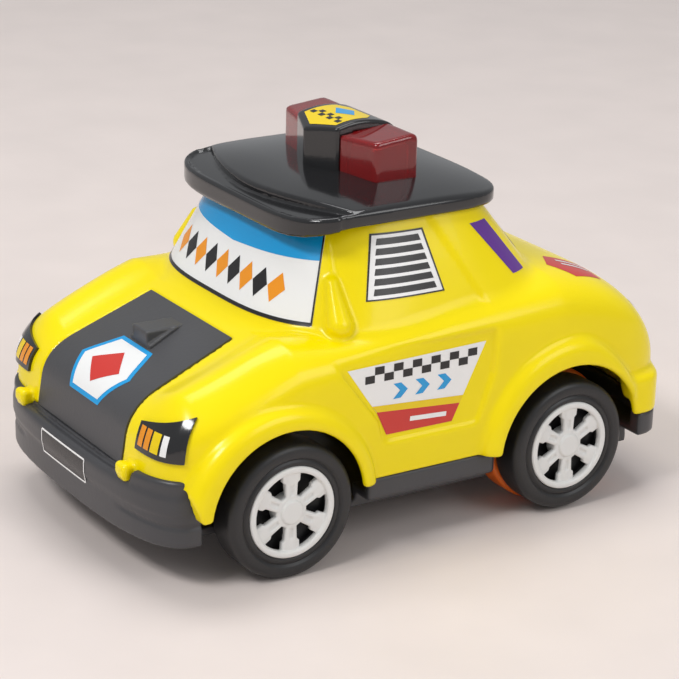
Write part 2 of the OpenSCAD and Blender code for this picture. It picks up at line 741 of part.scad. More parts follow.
// Section of a sill: a riser from the floor, a ledge and the wall that carries the body
sill_section = [
    [floor_hw - sill_wall, floor_z], [floor_hw, floor_z], [floor_hw, sill_z], [sill_x, sill_z],
    [sill_x, sill_top], [sill_x - sill_wall, sill_top], [sill_x - sill_wall, sill_z + sill_wall],
    [floor_hw - sill_wall, sill_z + sill_wall]];
sill_ends = [front_axle_y + front_arch_r + arch_gap / 2, rear_axle_y - rear_arch_r];

module bumper(hw, y, curve, z, top) {
    translate([0, 0, z]) linear_extrude(height = top - z) difference() {
        bumper_plan(hw, y, curve, 0);
        bumper_plan(hw, y, curve, bumper_t);
    }
    translate([0, 0, z]) linear_extrude(height = floor_t) bumper_plan(hw, y, curve, 0);
}

module chassis() {
    color("darkslategray") difference() {
        union() {
            translate([0, 0, floor_z]) linear_extrude(height = floor_t)
                polygon(concat(floor_half, [for (p = reversed(floor_half)) [-p[0], p[1]]]));
            both_sides() translate([0, sill_ends[1], 0]) rotate([90, 0, 0])
                linear_extrude(height = sill_ends[1] - sill_ends[0]) polygon(sill_section);
            bumper(bumper_hw, bumper_y, bumper_curve, bumper_z, bumper_top);
            bumper(tail_bumper_hw, tail_bumper_y, -tail_curve, tail_bumper_z, sill_top);
            translate([-tray_x, tail_bumper_y - tail_curve, floor_z])
                cube([2 * tray_x, bumper_t, tail_bumper_z - floor_z + floor_t]);
        }
        translate([-case_hw - well_gap, motor_hole[0], floor_z - over])
            cube([2 * (case_hw + well_gap), motor_hole[1] - motor_hole[0], floor_t + 2 * over]);
        both_sides() {
            for (p = post_places) floor_hole(p);
            for (y = ear_screw_ys) floor_hole([ear_screw_x, y]);
            for (y = bearing_screw_ys) floor_hole([bearing_x, y]);
        }
    }
}

post_screw_l = 14;
module chassis_screws() {
    color("silver") both_sides() for (p = post_places) screw([p[0], p[1], floor_z], post_screw_l);
}

// Bearing blocks of the front axle, each screwed down through the floor
bearing_x = front_well_x - bearing_hw - well_gap;
bearing_hl = 9;
bearing_wall = 3;
bearing_screw_ys = [for (d = [-1, 1]) front_axle_y + d * (axle_r + bearing_wall + head_r)];
bearing_top = front_axle_z + axle_r + bearing_wall;
bearing_foot_h = 4;
module bearing() {
    color("dimgray") difference() {
        union() {
            translate([bearing_x - bearing_hw, front_axle_y - bearing_hl, floor_top])
                cube([2 * bearing_hw, 2 * bearing_hl, bearing_foot_h]);
            translate([bearing_x - bearing_hw, front_axle_y - axle_r - bearing_wall, floor_top])
                cube([2 * bearing_hw, 2 * (axle_r + bearing_wall), bearing_top - floor_top]);
        }
        along_x(bearing_x - bearing_hw - over, front_axle_y, front_axle_z)
            cylinder(r = axle_r + run_gap, h = 2 * (bearing_hw + over));
        for (y = bearing_screw_ys)
            translate([bearing_x, y, floor_top - over])
                cylinder(r = screw_r + seat_gap, h = bearing_foot_h + 2 * over);
    }
}
module front_bearing_left() { bearing(); }
module front_bearing_right() { mirror([1, 0, 0]) bearing(); }

module bearing_screws() {
    color("silver") both_sides() for (y = bearing_screw_ys)
        screw([bearing_x, y, floor_z], floor_t + bearing_foot_h);
}

// Gear train, seen along X: places as distances along the car and heights
gear_r = gear_module * gear_teeth / 2;
pinion_r = gear_module * pinion_teeth / 2;
centre_d = gear_r + pinion_r;
tip_r = gear_r + gear_module;
axle_at = [rear_axle_y, rear_axle_z];
idler_at = axle_at + centre_d * [-cos(idler_angle), sin(idler_angle)];
flywheel_at = idler_at + centre_d * [-cos(flywheel_angle), -sin(flywheel_angle)];

// Involute gear as a closed outline, with one tooth on the first axis
pressure_angle = 28;
backlash_share = 0.1;
tip_share = 0.86;
root_share = 1.12;
flank_steps = 4;
function degrees(r) = r * 180 / PI;
function involute(a) = degrees(tan(a)) - a;
function tooth_half(teeth, r, base) =
    90 / teeth * (1 - backlash_share) + involute(pressure_angle) - involute(acos(min(1, base / r)));
function gear_points(teeth) =
    let (pitch = gear_module * teeth / 2, base = pitch * cos(pressure_angle),
        tip = pitch + gear_module * tip_share, root = pitch - gear_module * root_share,
        start = max(base, root), radii = [for (i = [0:flank_steps]) mix(start, tip, i / flank_steps)])
    [for (k = [0:teeth - 1])
        let (a = 360 * k / teeth)
        each concat(
            [root * [cos(a - tooth_half(teeth, start, base)), sin(a - tooth_half(teeth, start, base))]],
            [for (r = radii) r * [cos(a - tooth_half(teeth, r, base)), sin(a - tooth_half(teeth, r, base))]],
            [for (r = reversed(radii)) r * [cos(a + tooth_half(teeth, r, base)), sin(a + tooth_half(teeth, r, base))]],
            [root * [cos(a + tooth_half(teeth, start, base)), sin(a + tooth_half(teeth, start, base))]])];

// A gear on the X axis at a place, turned by an angle in the plane seen from the left
module gear(teeth, x, at, turn, width) {
    translate([x, at[0], at[1]]) rotate([90, 0, 90]) rotate(turn)
        linear_extrude(height = width) polygon(gear_points(teeth));
}

// Each mesh has a tooth of one gear on the line of centres and a gap of the other there
to_idler = 180 - idler_angle;
to_flywheel = 180 + flywheel_angle;
tooth_step = 360 / pinion_teeth;
idler_pinion_turn = to_idler + 180 + tooth_step / 2;
idler_gear_turn = to_flywheel;
flywheel_pinion_turn = to_flywheel + 180 + tooth_step / 2;

// Places along the axles, from the left wall of the case inwards
drive_gear_x = case_hw - case_wall - move_gap - gear_w;
idler_gear_x = drive_gear_x - move_gap - gear_w;
flywheel_x = idler_gear_x - move_gap - flywheel_t;

module drive_gear() {
    color("ivory") difference() {
        gear(gear_teeth, drive_gear_x, axle_at, to_idler, gear_w);
        along_x(drive_gear_x - over, axle_at[0], axle_at[1]) cylinder(r = axle_r + seat_gap, h = gear_w + 2 * over);
    }
}

module idler_gear() {
    color("ivory") difference() {
        union() {
            gear(pinion_teeth, idler_gear_x, idler_at, idler_pinion_turn, drive_gear_x + gear_w - idler_gear_x);
            gear(gear_teeth, idler_gear_x, idler_at, idler_gear_turn, gear_w);
        }
        along_x(idler_gear_x - over, idler_at[0], idler_at[1])
            cylinder(r = shaft_r + run_gap, h = 2 * gear_w + move_gap + 2 * over);
    }
}

module flywheel() {
    color("silver") difference() {
        union() {
            along_x(flywheel_x, flywheel_at[0], flywheel_at[1]) cylinder(r = flywheel_r, h = flywheel_t);
            gear(pinion_teeth, flywheel_x, flywheel_at, flywheel_pinion_turn, idler_gear_x + gear_w - flywheel_x);
        }
        along_x(flywheel_x - over, flywheel_at[0], flywheel_at[1])
            cylinder(r = shaft_r + run_gap, h = idler_gear_x + gear_w - flywheel_x + 2 * over);
    }
}

module case_shaft(at) {
    color("silver") along_x(-case_hw, at[0], at[1]) cylinder(r = shaft_r, h = 2 * case_hw);
}
module idler_shaft() { case_shaft(idler_at); }
module flywheel_shaft() { case_shaft(flywheel_at); }

// Motor case: two trays that meet in the middle, with an outline that follows the gears
case_rs = [tip_r + move_gap, tip_r + move_gap, flywheel_r + move_gap];
case_at = [axle_at, idler_at, flywheel_at];
motor_hole = [flywheel_at[0] - case_rs[2] - case_wall - well_gap, axle_at[0] + case_rs[0] + case_wall + well_gap];
belt_share = 0.96;
ear_screw_x = case_hw / 2;
ear_screw_ys = [motor_hole[0] - ear_l / 2, motor_hole[1] + ear_l / 2];

// Straight band between two circles, a little inside the lines that touch both
module belt(a, ra, b, rb) {
    along = atan2(b[1] - a[1], b[0] - a[0]);
    lean = acos((ra - rb) / norm(b - a));
    polygon([for (s = [[a, ra, lean], [a, ra, -lean], [b, rb, -lean], [b, rb, lean]])
        s[0] + s[1] * [cos(along + s[2]), sin(along + s[2])]]);
}
module case_outline(grow) {
    for (i = [0:2]) translate(case_at[i]) circle(case_rs[i] + grow);
    for (i = [0:1])
        belt(case_at[i], (case_rs[i] + grow) * belt_share, case_at[i + 1], (case_rs[i + 1] + grow) * belt_share);
}

// Bosses for the screws that hold the two trays together, outside the outline
boss_angles = [-35, 75, 200];
case_bosses = [for (i = [0:2])
    case_at[i] + (case_rs[i] + case_wall + screw_r) * [cos(boss_angles[i]), sin(boss_angles[i])]];
ear_h = 2.5;
module motor_case() {
    color("dimgray") difference() {
        union() {
            rotate([90, 0, 90]) linear_extrude(height = case_hw) {
                case_outline(case_wall);
                for (p = case_bosses) translate(p) circle(case_boss_r);
            }
            for (y = [[motor_hole[0] - ear_l, flywheel_at[0]], [axle_at[0], motor_hole[1] + ear_l]])
                translate([0, y[0], floor_top]) cube([case_hw, y[1] - y[0], ear_h]);
        }
        translate([-over, 0, 0]) rotate([90, 0, 90])
            linear_extrude(height = case_hw - case_wall + over) case_outline(0);
        along_x(-over, axle_at[0], axle_at[1]) cylinder(r = axle_r + run_gap, h = case_hw + 2 * over);
        for (p = [idler_at, flywheel_at])
            along_x(-over, p[0], p[1]) cylinder(r = shaft_r + seat_gap, h = case_hw + 2 * over);
        for (p = case_bosses)
            along_x(-over, p[0], p[1]) cylinder(r = screw_r + seat_gap, h = case_hw + 2 * over);
        for (y = ear_screw_ys)
            translate([ear_screw_x, y, floor_top - over]) cylinder(r = screw_r + seat_gap, h = ear_h + 2 * over);
    }
}
module motor_case_left() { motor_case(); }
module motor_case_right() { mirror([1, 0, 0]) motor_case(); }

module motor_screws() {
    color("silver") both_sides() for (y = ear_screw_ys) screw([ear_screw_x, y, floor_z], floor_t + ear_h);
}

module case_screws() {
    color("silver") for (p = case_bosses)
        translate([case_hw + head_h, p[0], p[1]]) rotate([0, -90, 0]) screw([0, 0, 0], 2 * case_hw + head_h);
}

// Wheels, made on the left side with the outer face at wheel_face_x
tread_in = tyre_r - hub_r;
groove_share = 0.42;
groove_d = 0.5;
module tyre(y, z) {
    color([0.09, 0.09, 0.1]) along_x(wheel_face_x, y, z) rotate_extrude() difference() {
        union() {
            soft_square([hub_r + seat_gap, -tyre_w], [tread_in - seat_gap, tyre_w], shoulder_r);
            translate([axle_r + seat_gap, -hub_depth - seat_gap - web_t])
                square([hub_r + shoulder_r - axle_r, web_t]);
        }
        translate([hub_r + tread_in * groove_share, -groove_d]) square([groove_d, 2 * groove_d]);
    }
}

// A spoke that widens towards the rim
module spoke() {
    polygon([[0, -spoke_w / 3], [hub_r - rim_w / 2, -spoke_w / 2], [hub_r - rim_w / 2, spoke_w / 2], [0, spoke_w / 3]]);
}
module hub(y, z) {
    color("white") along_x(wheel_face_x - hub_depth, y, z) {
        difference() {
            cylinder(r = hub_r, h = hub_depth);
            translate([0, 0, -over]) cylinder(r = hub_r - rim_w, h = hub_depth + 2 * over);
        }
        linear_extrude(height = hub_depth - cap_h) intersection() {
            circle(hub_r - rim_w / 2);
            union() for (i = [0:spokes - 1]) rotate(360 * i / spokes) spoke();
        }
        cylinder(r = cap_r + cap_h, h = hub_depth - cap_h);
        cylinder(r = cap_r, h = hub_depth);
    }
}

module drive_ring() {
    color("orangered") along_x(drive_in_x, rear_axle_y, rear_axle_z) rotate_extrude() {
        soft_square([hub_r, 0], [drive_r - hub_r, drive_w], shoulder_r / 2);
        translate([axle_r + seat_gap, drive_w / 2 - web_t / 2]) square([hub_r + shoulder_r - axle_r, web_t]);
        translate([axle_r + seat_gap, 0]) square([cap_r, drive_w]);
    }
}

module axle(y, z) {
    color("silver") along_x(-axle_half, y, z) cylinder(r = axle_r, h = 2 * axle_half);
}

module front_axle() { axle(front_axle_y, front_axle_z); }
module front_tyre_left() { tyre(front_axle_y, front_axle_z); }
module front_tyre_right() { mirror([1, 0, 0]) tyre(front_axle_y, front_axle_z); }
module front_hub_left() { hub(front_axle_y, front_axle_z); }
module front_hub_right() { mirror([1, 0, 0]) hub(front_axle_y, front_axle_z); }
module rear_axle() { axle(rear_axle_y, rear_axle_z); }
module rear_tyre_left() { tyre(rear_axle_y, rear_axle_z); }
module rear_tyre_right() { mirror([1, 0, 0]) tyre(rear_axle_y, rear_axle_z); }
module rear_hub_left() { hub(rear_axle_y, rear_axle_z); }
module rear_hub_right() { mirror([1, 0, 0]) hub(rear_axle_y, rear_axle_z); }
module drive_ring_left() { drive_ring(); }
module drive_ring_right() { mirror([1, 0, 0]) drive_ring(); }

body_shell();
bonnet_panel();
windscreen_panel();
headlight_left();
headlight_right();
roof_cap();
light_bar_lens();
sign_cover();
roof_screws();
chassis();
chassis_screws();
front_bearing_left();
front_bearing_right();
bearing_screws();
motor_case_left();
motor_case_right();
motor_screws();
case_screws();
idler_shaft();
flywheel_shaft();
front_axle();
front_tyre_left();
front_tyre_right();
front_hub_left();
front_hub_right();
rear_axle();
rear_tyre_left();
rear_tyre_right();
rear_hub_left();
rear_hub_right();
drive_ring_left();
drive_ring_right();
drive_gear();
idler_gear();
flywheel();
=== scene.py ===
"""Looks of the friction-drive toy taxi: moulded skins, wheels, stickers, light and camera.

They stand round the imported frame. Lengths are millimetres until a mesh is made. The front faces -Y,
the car's left side is +X and the floor is Z = 0. Moulded pieces are drawn as fields: a field is
negative inside the plastic, and its zero surface becomes the mesh.
"""

import math

import bmesh
import bpy
import numpy as np
from mathutils import Matrix, Vector


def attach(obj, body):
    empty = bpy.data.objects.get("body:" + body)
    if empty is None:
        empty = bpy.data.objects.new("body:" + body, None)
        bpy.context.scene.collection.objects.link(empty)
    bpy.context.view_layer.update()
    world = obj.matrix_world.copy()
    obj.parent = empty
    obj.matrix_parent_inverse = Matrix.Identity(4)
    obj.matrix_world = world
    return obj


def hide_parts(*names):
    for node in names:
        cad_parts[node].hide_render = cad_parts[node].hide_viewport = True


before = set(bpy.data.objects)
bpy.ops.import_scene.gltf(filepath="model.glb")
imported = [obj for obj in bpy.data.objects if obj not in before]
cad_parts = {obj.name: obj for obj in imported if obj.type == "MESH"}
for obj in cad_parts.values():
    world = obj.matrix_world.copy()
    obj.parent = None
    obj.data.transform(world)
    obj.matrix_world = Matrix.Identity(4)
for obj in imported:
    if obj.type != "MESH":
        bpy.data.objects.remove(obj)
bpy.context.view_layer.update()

MM = 0.001
BODY = "car_body"
SIDES = (("left", 1), ("right", -1))

# Sizes that follow the part's source. Points of the top line are (Y, Z)
FRONT_Y, REAR_Y = -47.9, 48.1
FRONT_Z, REAR_Z = 20.0, 20.8
WHEEL_FACE_X = 56.0
FRONT_ARCH, REAR_ARCH, ARCH_LEAD = 24.6, 25.4, 1.4
BODY_HW, BODY_MID, BODY_HL = 54.6, 1.35, 87.25
SILL_TOP, BUMPER_TOP, WALL = 23.0, 31.1, 2.4
NOSE, KNEE, COWL = (-85.9, 31.0), (-83.3, 47.8), (-44.9, 63.4)
DECK, TAIL, TAIL_END = (45.1, 72.8), (84.6, 70.0), (88.6, 34.0)
CABIN_TOP, CABIN_MID = 96.0, 7.1
CABIN_BASE_HW, CABIN_TOP_HW = 51.0, 38.2
SCREEN_FOOT_Y, SCREEN_LEAN = -44.9, 17.0
BACK_FOOT_Y, BACK_LEAN = 55.1, 25.5
ROOF_HW, ROOF_FRONT, ROOF_REAR = 41.6, -35.3, 35.0
SKIRT_Z, SKIRT_TOP = 94.0, 98.6
BRIM_Y, BRIM_DROP = -16, 4
BAR_HW, BAR_FRONT, BAR_REAR = 25.0, -2.3, 11.1
COVER_HW = 11.0
PANEL_FRONT_HW, PANEL_REAR_HW, PANEL_REAR_Y = 26.4, 24.0, -49.5
BUMPER_Y, BUMPER_HW, BUMPER_CURVE = -90.5, 52.0, 16.6
TAIL_BUMPER_Y, TAIL_CURVE = 90.5, 15.6
PLAN_POWER, ROOF_POWER, BUMPER_POWER = 8, 5.0, 2.9

# Sizes of the tail that the looks alone have, fitted to the photo
TAIL_BUMPER_HW, TAIL_BUMPER_LOW, TAIL_BUMPER_TOP = 55.6, 18.4, 25.6
LEDGE_FRONT, LEDGE_TOP = 70, 38.0


# Field tools

def step(t):
    """Smooth rise from 0 to 1."""
    t = np.clip(t, 0, 1)
    return t * t * (3 - 2 * t)


def both(a, b, k):
    """Space inside both fields, with the edge rounded over k."""
    h = np.maximum(k - np.abs(a - b), 0) / k
    return np.maximum(a, b) + h * h * k / 4


def either(a, b, k):
    """Space inside either field, with the inner corner filled over k."""
    return -both(-a, -b, k)


def oval(x, a, y, b, p):
    """Distance-like field of the superellipse |x/a|^p + |y/b|^p = 1."""
    u, v = np.abs(x) / a, np.abs(y) / b
    r = (u**p + v**p) ** (1 / p) + 1e-6
    slope = np.hypot((u / r) ** (p - 1) / a, (v / r) ** (p - 1) / b)
    return (r - 1) / (slope + 1e-9)


def span(v, low, high):
    """Field of the slab between two values."""
    return np.maximum(low - v, v - high)


def box(x, y, z, low, high, r):
    """Field of a box with edges rounded by r."""
    q = [np.abs(v - (a + b) / 2) - (b - a) / 2 + r for v, a, b in zip((x, y, z), low, high)]
    outside = np.sqrt(sum(np.maximum(v, 0) ** 2 for v in q))
    return outside + np.minimum(np.maximum(np.maximum(q[0], q[1]), q[2]), 0) - r


def cone(x, y, z, a, b, ra, rb):
    """Field of a round-ended cone from point a to point b."""
    a, b = np.array(a), np.array(b)
    d = b - a
    t = np.clip(((x - a[0]) * d[0] + (y - a[1]) * d[1] + (z - a[2]) * d[2]) / d.dot(d), 0, 1)
    gap = np.sqrt((x - a[0] - t * d[0]) ** 2 + (y - a[1] - t * d[1]) ** 2 + (z - a[2] - t * d[2]) ** 2)
    return gap - ra - (rb - ra) * t


def slope_of(field, points):
    """Gradient of a field at points."""
    eps = 0.05
    out = []
    for axis in range(3):
        low, high = points.copy(), points.copy()
        low[:, axis] -= eps
        high[:, axis] += eps
        out.append((field(*high.T) - field(*low.T)) / (2 * eps))
    return np.stack(out, axis=1)


def net(field, low, high, pitch):
    """Points and quads on the zero surface of a field, with one point in each cell that it crosses."""
    counts = [int(math.ceil((b - a) / pitch)) + 1 for a, b in zip(low, high)]
    axes = [a + pitch * np.arange(n) for a, n in zip(low, counts)]
    f = field(axes[0][:, None, None], axes[1][None, :, None], axes[2][None, None, :])
    f = np.broadcast_to(f, counts)
    nx, ny, nz = (n - 1 for n in counts)
    total, hits = np.zeros((nx, ny, nz, 3)), np.zeros((nx, ny, nz))
    for axis in range(3):
        others = [v for v in range(3) if v != axis]
        for corner in range(4):
            start = [0, 0, 0]
            start[others[0]], start[others[1]] = corner & 1, corner >> 1
            end = list(start)
            end[axis] = 1
            fa = f[tuple(slice(s, s + n) for s, n in zip(start, (nx, ny, nz)))]
            fb = f[tuple(slice(s, s + n) for s, n in zip(end, (nx, ny, nz)))]
            cross = (fa < 0) != (fb < 0)
            t = np.where(cross, fa / np.where(fa == fb, 1, fa - fb), 0)
            hits += cross
            for v in range(3):
                total[..., v] += cross * (t if v == axis else start[v])
    live = hits > 0
    ids = np.full(live.shape, -1)
    ids[live] = np.arange(live.sum())
    points = np.argwhere(live) * pitch + np.array(low) + total[live] / hits[live][:, None] * pitch
    quads = []
    for axis in range(3):
        u, v = (axis + 1) % 3, (axis + 2) % 3
        n = [nx, ny, nz]
        a_slice, b_slice = [slice(1, m) for m in n], [slice(1, m) for m in n]
        a_slice[axis], b_slice[axis] = slice(0, n[axis]), slice(1, n[axis] + 1)
        fa, fb = f[tuple(a_slice)] < 0, f[tuple(b_slice)] < 0
        at = np.argwhere(fa != fb)
        leaving = fa[tuple(at.T)]
        at = at + 1
        at[:, axis] -= 1
        ring = []
        for du, dv in ((1, 1), (0, 1), (0, 0), (1, 0)):
            c = at.copy()
            c[:, u] -= du
            c[:, v] -= dv
            ring.append(ids[tuple(c.T)])
        ring = np.stack(ring, axis=1)
        ring[~leaving] = ring[~leaving][:, ::-1]
        quads.append(ring)
    for _ in range(3):
        g = slope_of(field, points)
        move = field(*points.T)[:, None] * g / (np.sum(g * g, axis=1) + 1e-6)[:, None]
        size = np.linalg.norm(move, axis=1)[:, None]
        points = points - move * np.minimum(1, 0.4 * pitch / (size + 1e-9))
    return points, np.concatenate(quads)


# Pieces

def piece(name, points, faces, material, body=BODY, slot=None, stands_for=()):
    """A mesh object from millimetre points, on a body."""
    mesh = bpy.data.meshes.new(name)
    mesh.from_pydata((np.asarray(points) * MM).tolist(), [], [list(map(int, q)) for q in faces])
    mesh.update()
    mesh.polygons.foreach_set("use_smooth", [True] * len(mesh.polygons))
    mesh.materials.append(material)
    return settle(bpy.data.objects.new(name, mesh), body, stands_for)


def settle(obj, body, stands_for):
    """Links an object, sets it on its body and hides the frame's nodes that it stands for."""
    bpy.context.scene.collection.objects.link(obj)
    bpy.context.view_layer.update()
    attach(obj, body)
    if stands_for:
        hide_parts(*stands_for)
    return obj


def moulding(name, field, low, high, pitch, material, **how):
    """A piece made from a field."""
    points, quads = net(field, low, high, pitch)
    return piece(name, points, quads, material, **how)


# Materials

DRIFT_SCALE, POLISH_VARY, COAT_ROUGH = 28, 0.06, 0.06


def surface(material):
    """Principled node of a material."""
    return material.node_tree.nodes["Principled BSDF"]


def plastic(name, colour, rough, vary=0.05, grain=900.0, bump=0.02, coat=0.0):
    """Moulded plastic: faint colour drift, uneven polish and a fine skin texture."""
    material = bpy.data.materials.new(name)
    material.use_nodes = True
    nodes, links, bsdf = material.node_tree.nodes, material.node_tree.links, surface(material)
    place = nodes.new("ShaderNodeNewGeometry")
    drift = nodes.new("ShaderNodeTexNoise")
    drift.inputs["Scale"].default_value = DRIFT_SCALE
    drift.inputs["Detail"].default_value = 3
    links.new(place.outputs["Position"], drift.inputs["Vector"])
    ramp = nodes.new("ShaderNodeValToRGB")
    ramp.color_ramp.elements[0].position, ramp.color_ramp.elements[1].position = 0.3, 0.7
    ramp.color_ramp.elements[0].color = [c * (1 - vary) for c in colour] + [1]
    ramp.color_ramp.elements[1].color = [min(1, c * (1 + vary)) for c in colour] + [1]
    links.new(drift.outputs["Fac"], ramp.inputs["Fac"])
    links.new(ramp.outputs["Color"], bsdf.inputs["Base Color"])
    polish = nodes.new("ShaderNodeMapRange")
    polish.inputs["To Min"].default_value = max(0.02, rough - POLISH_VARY)
    polish.inputs["To Max"].default_value = rough + POLISH_VARY
    links.new(drift.outputs["Fac"], polish.inputs["Value"])
    links.new(polish.outputs["Result"], bsdf.inputs["Roughness"])
    skin = nodes.new("ShaderNodeTexNoise")
    skin.inputs["Scale"].default_value = grain
    skin.inputs["Detail"].default_value = 2
    links.new(place.outputs["Position"], skin.inputs["Vector"])
    dent = nodes.new("ShaderNodeBump")
    dent.inputs["Strength"].default_value = bump
    dent.inputs["Distance"].default_value = MM
    links.new(skin.outputs["Fac"], dent.inputs["Height"])
    links.new(dent.outputs["Normal"], bsdf.inputs["Normal"])
    bsdf.inputs["Coat Weight"].default_value = coat
    bsdf.inputs["Coat Roughness"].default_value = COAT_ROUGH
    return material


yellow = plastic("yellow_shell", (0.96, 0.77, 0.0), 0.24, vary=0.03, grain=500, bump=0.015, coat=0.15)
surface(yellow).inputs["Specular IOR Level"].default_value = 0.25
grey = plastic("grey_panel", (0.062, 0.062, 0.066), 0.42, vary=0.08, bump=0.05)
chassis_grey = plastic("grey_chassis", (0.05, 0.05, 0.054), 0.36, vary=0.1, grain=700, bump=0.04)
black = plastic("black_gloss", (0.012, 0.012, 0.013), 0.14, vary=0.15, grain=300, bump=0.01, coat=0.4)
tyre_black = plastic("tyre_black", (0.016, 0.016, 0.017), 0.4, vary=0.15, grain=1200, bump=0.06)
hub_white = plastic("hub_white", (0.78, 0.78, 0.76), 0.34, vary=0.03, bump=0.03)
orange = plastic("orange_rubber", (0.88, 0.16, 0.01), 0.5, vary=0.08, grain=1500, bump=0.08)
print_white = plastic("print_white", (0.88, 0.88, 0.87), 0.22, vary=0.015, bump=0.01, coat=0.3)
print_black = plastic("print_black", (0.014, 0.013, 0.014), 0.25, vary=0.1, bump=0.01)
print_blue = plastic("print_blue", (0.0, 0.33, 0.72), 0.22, vary=0.03, bump=0.01, coat=0.3)
print_red = plastic("print_red", (0.62, 0.035, 0.025), 0.24, vary=0.04, bump=0.01)
print_yellow = plastic("print_yellow", (0.86, 0.62, 0.0), 0.24, vary=0.03, bump=0.01)
print_amber = plastic("print_amber", (0.85, 0.3, 0.01), 0.24, vary=0.05, bump=0.01)
print_purple = plastic("print_purple", (0.13, 0.035, 0.3), 0.24, vary=0.05, bump=0.01)
steel = plastic("bright_steel", (0.6, 0.6, 0.62), 0.28, vary=0.06, grain=2000, bump=0.03)
surface(steel).inputs["Metallic"].default_value = 1
gear_cream = plastic("gear_cream", (0.72, 0.68, 0.56), 0.45, vary=0.05, bump=0.04)
case_grey = plastic("case_grey", (0.1, 0.1, 0.1), 0.5, vary=0.08, bump=0.06)
red_lens = plastic("red_lens", (0.42, 0.006, 0.008), 0.1, vary=0.12, grain=250, bump=0.02, coat=0.5)
surface(red_lens).inputs["Transmission Weight"].default_value = 0.55
surface(red_lens).inputs["IOR"].default_value = 1.49

# Inner pieces keep the frame's own meshes and only get a material
NODE_MATERIALS = (
    (steel, "roof_screws chassis_screws bearing_screws motor_screws case_screws idler_shaft"),
    (steel, "flywheel_shaft front_axle rear_axle flywheel"),
    (case_grey, "front_bearing_left front_bearing_right motor_case_left motor_case_right"),
    (orange, "drive_ring_left drive_ring_right"),
    (gear_cream, "drive_gear idler_gear"),
)
for material, names in NODE_MATERIALS:
    for node in names.split():
        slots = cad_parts[node].data.materials
        slots.clear()
        slots.append(material)


# Body shell, close to the lines and sections of the part's source, with softer blends

KNEE_IN, KNEE_OUT = 0.55, 0.24
BEFORE_NOSE, PAST_TAIL = (-4, -50), (4, -50)
MID_SHARE, FLANK_TUCK = 0.42, 1.5
SHOULDER_POWERS = (6, 7.5, 4.6)
WING_RISE, WING_PEAK, WING_SPAN = 3.4, 0.76, 0.26
WING_RUN, WING_TAIL, WING_END = 9, 36, 25.2
CABIN_FRONT_POWER, CABIN_REAR_POWER = 3.2, 4.0
WINDOW_DEPTH, WINDOW_SOFT = 0.8, 1.6
PILLAR_A, PILLAR_A_LEAN = (-25.0, 78), 0.13
PILLAR_C, PILLAR_C_LEAN = (5.3, 94), 0.57
DOOR_LOW, DOOR_HIGH, DOOR_FACE_X = 34.4, 61.2, 53.0
DOOR_FRONT = ((34.4, 40.9, 47, 55.7, 61.2), (-17.1, -19, -23.9, -30.7, -32.9))
DOOR_REAR = ((34.4, 48.6, 59.1), (15.2, 19.9, 20.6))
FLARE_IN_X, FLARE_OUT_X, FLARE_ROUND, FLARE_FILLET = 46, 57.5, 5.5, 1.4
FRONT_FLARE, FRONT_FLARE_R = (FRONT_Y - 2.6, FRONT_Z), 31.2
REAR_FLARE, REAR_FLARE_R, REAR_FLARE_END = (REAR_Y + 0.6, REAR_Z + 2.4), 31.6, 72.5
REAR_FLARE_CUT, REAR_CUT_Y, REAR_CUT_RUN = 4.2, 50, 21
MIRROR_FOOT, MIRROR_FOOT_R = (44.2, -26.8, 67.5), 3.8
MIRROR_HEAD, MIRROR_HEAD_R = (38.4, -26.0, 78), 1.9
RECESS_DEPTH, RECESS_GAP, RECESS_SOFT = 0.9, 0.3, 0.5
THICK_NOSE_Y, THICK_TAIL_Y, THICK_RUN = -74, 78, 6
ARCH_IN_X, LIP_X = 33, 52.2
TAB_LOW, TAB_HIGH = (29.6, -89.2, 29.6), (34.4, -84.0, 34.2)


def bezier(a, b, c, t):
    """Curve from a to c that is drawn towards b."""
    return (1 - t) ** 2 * a + 2 * t * (1 - t) * b + t * t * c


def bow(u, p):
    """Share of a half width that is left at u: 1 at the middle, 0 at the ends."""
    return np.maximum(1 - np.minimum(np.abs(u), 1) ** p, 0) ** (1 / p)


def top_line(i):
    """One coordinate, 0 for Y and 1 for Z, of the body's top line from nose to tail."""
    arc = np.linspace(0, 1, 40)
    knee_in = NOSE[i] + KNEE_IN * (KNEE[i] - NOSE[i])
    knee_out = KNEE[i] + KNEE_OUT * (COWL[i] - KNEE[i])
    return np.concatenate([
        [NOSE[i] + BEFORE_NOSE[i], NOSE[i]],
        bezier(knee_in, KNEE[i], knee_out, arc),
        [COWL[i]],
        bezier(DECK[i], TAIL[i], TAIL_END[i], arc),
        [TAIL_END[i] + PAST_TAIL[i]],
    ])


fine_y = np.linspace(-94, 97, 4000)
fine_z = np.interp(fine_y, top_line(0), top_line(1))
fine_w = np.maximum(BODY_HW * bow((fine_y - BODY_MID) / BODY_HL, PLAN_POWER), 1.0)
fine_dz, fine_dw = np.gradient(fine_z, fine_y), np.gradient(fine_w, fine_y)


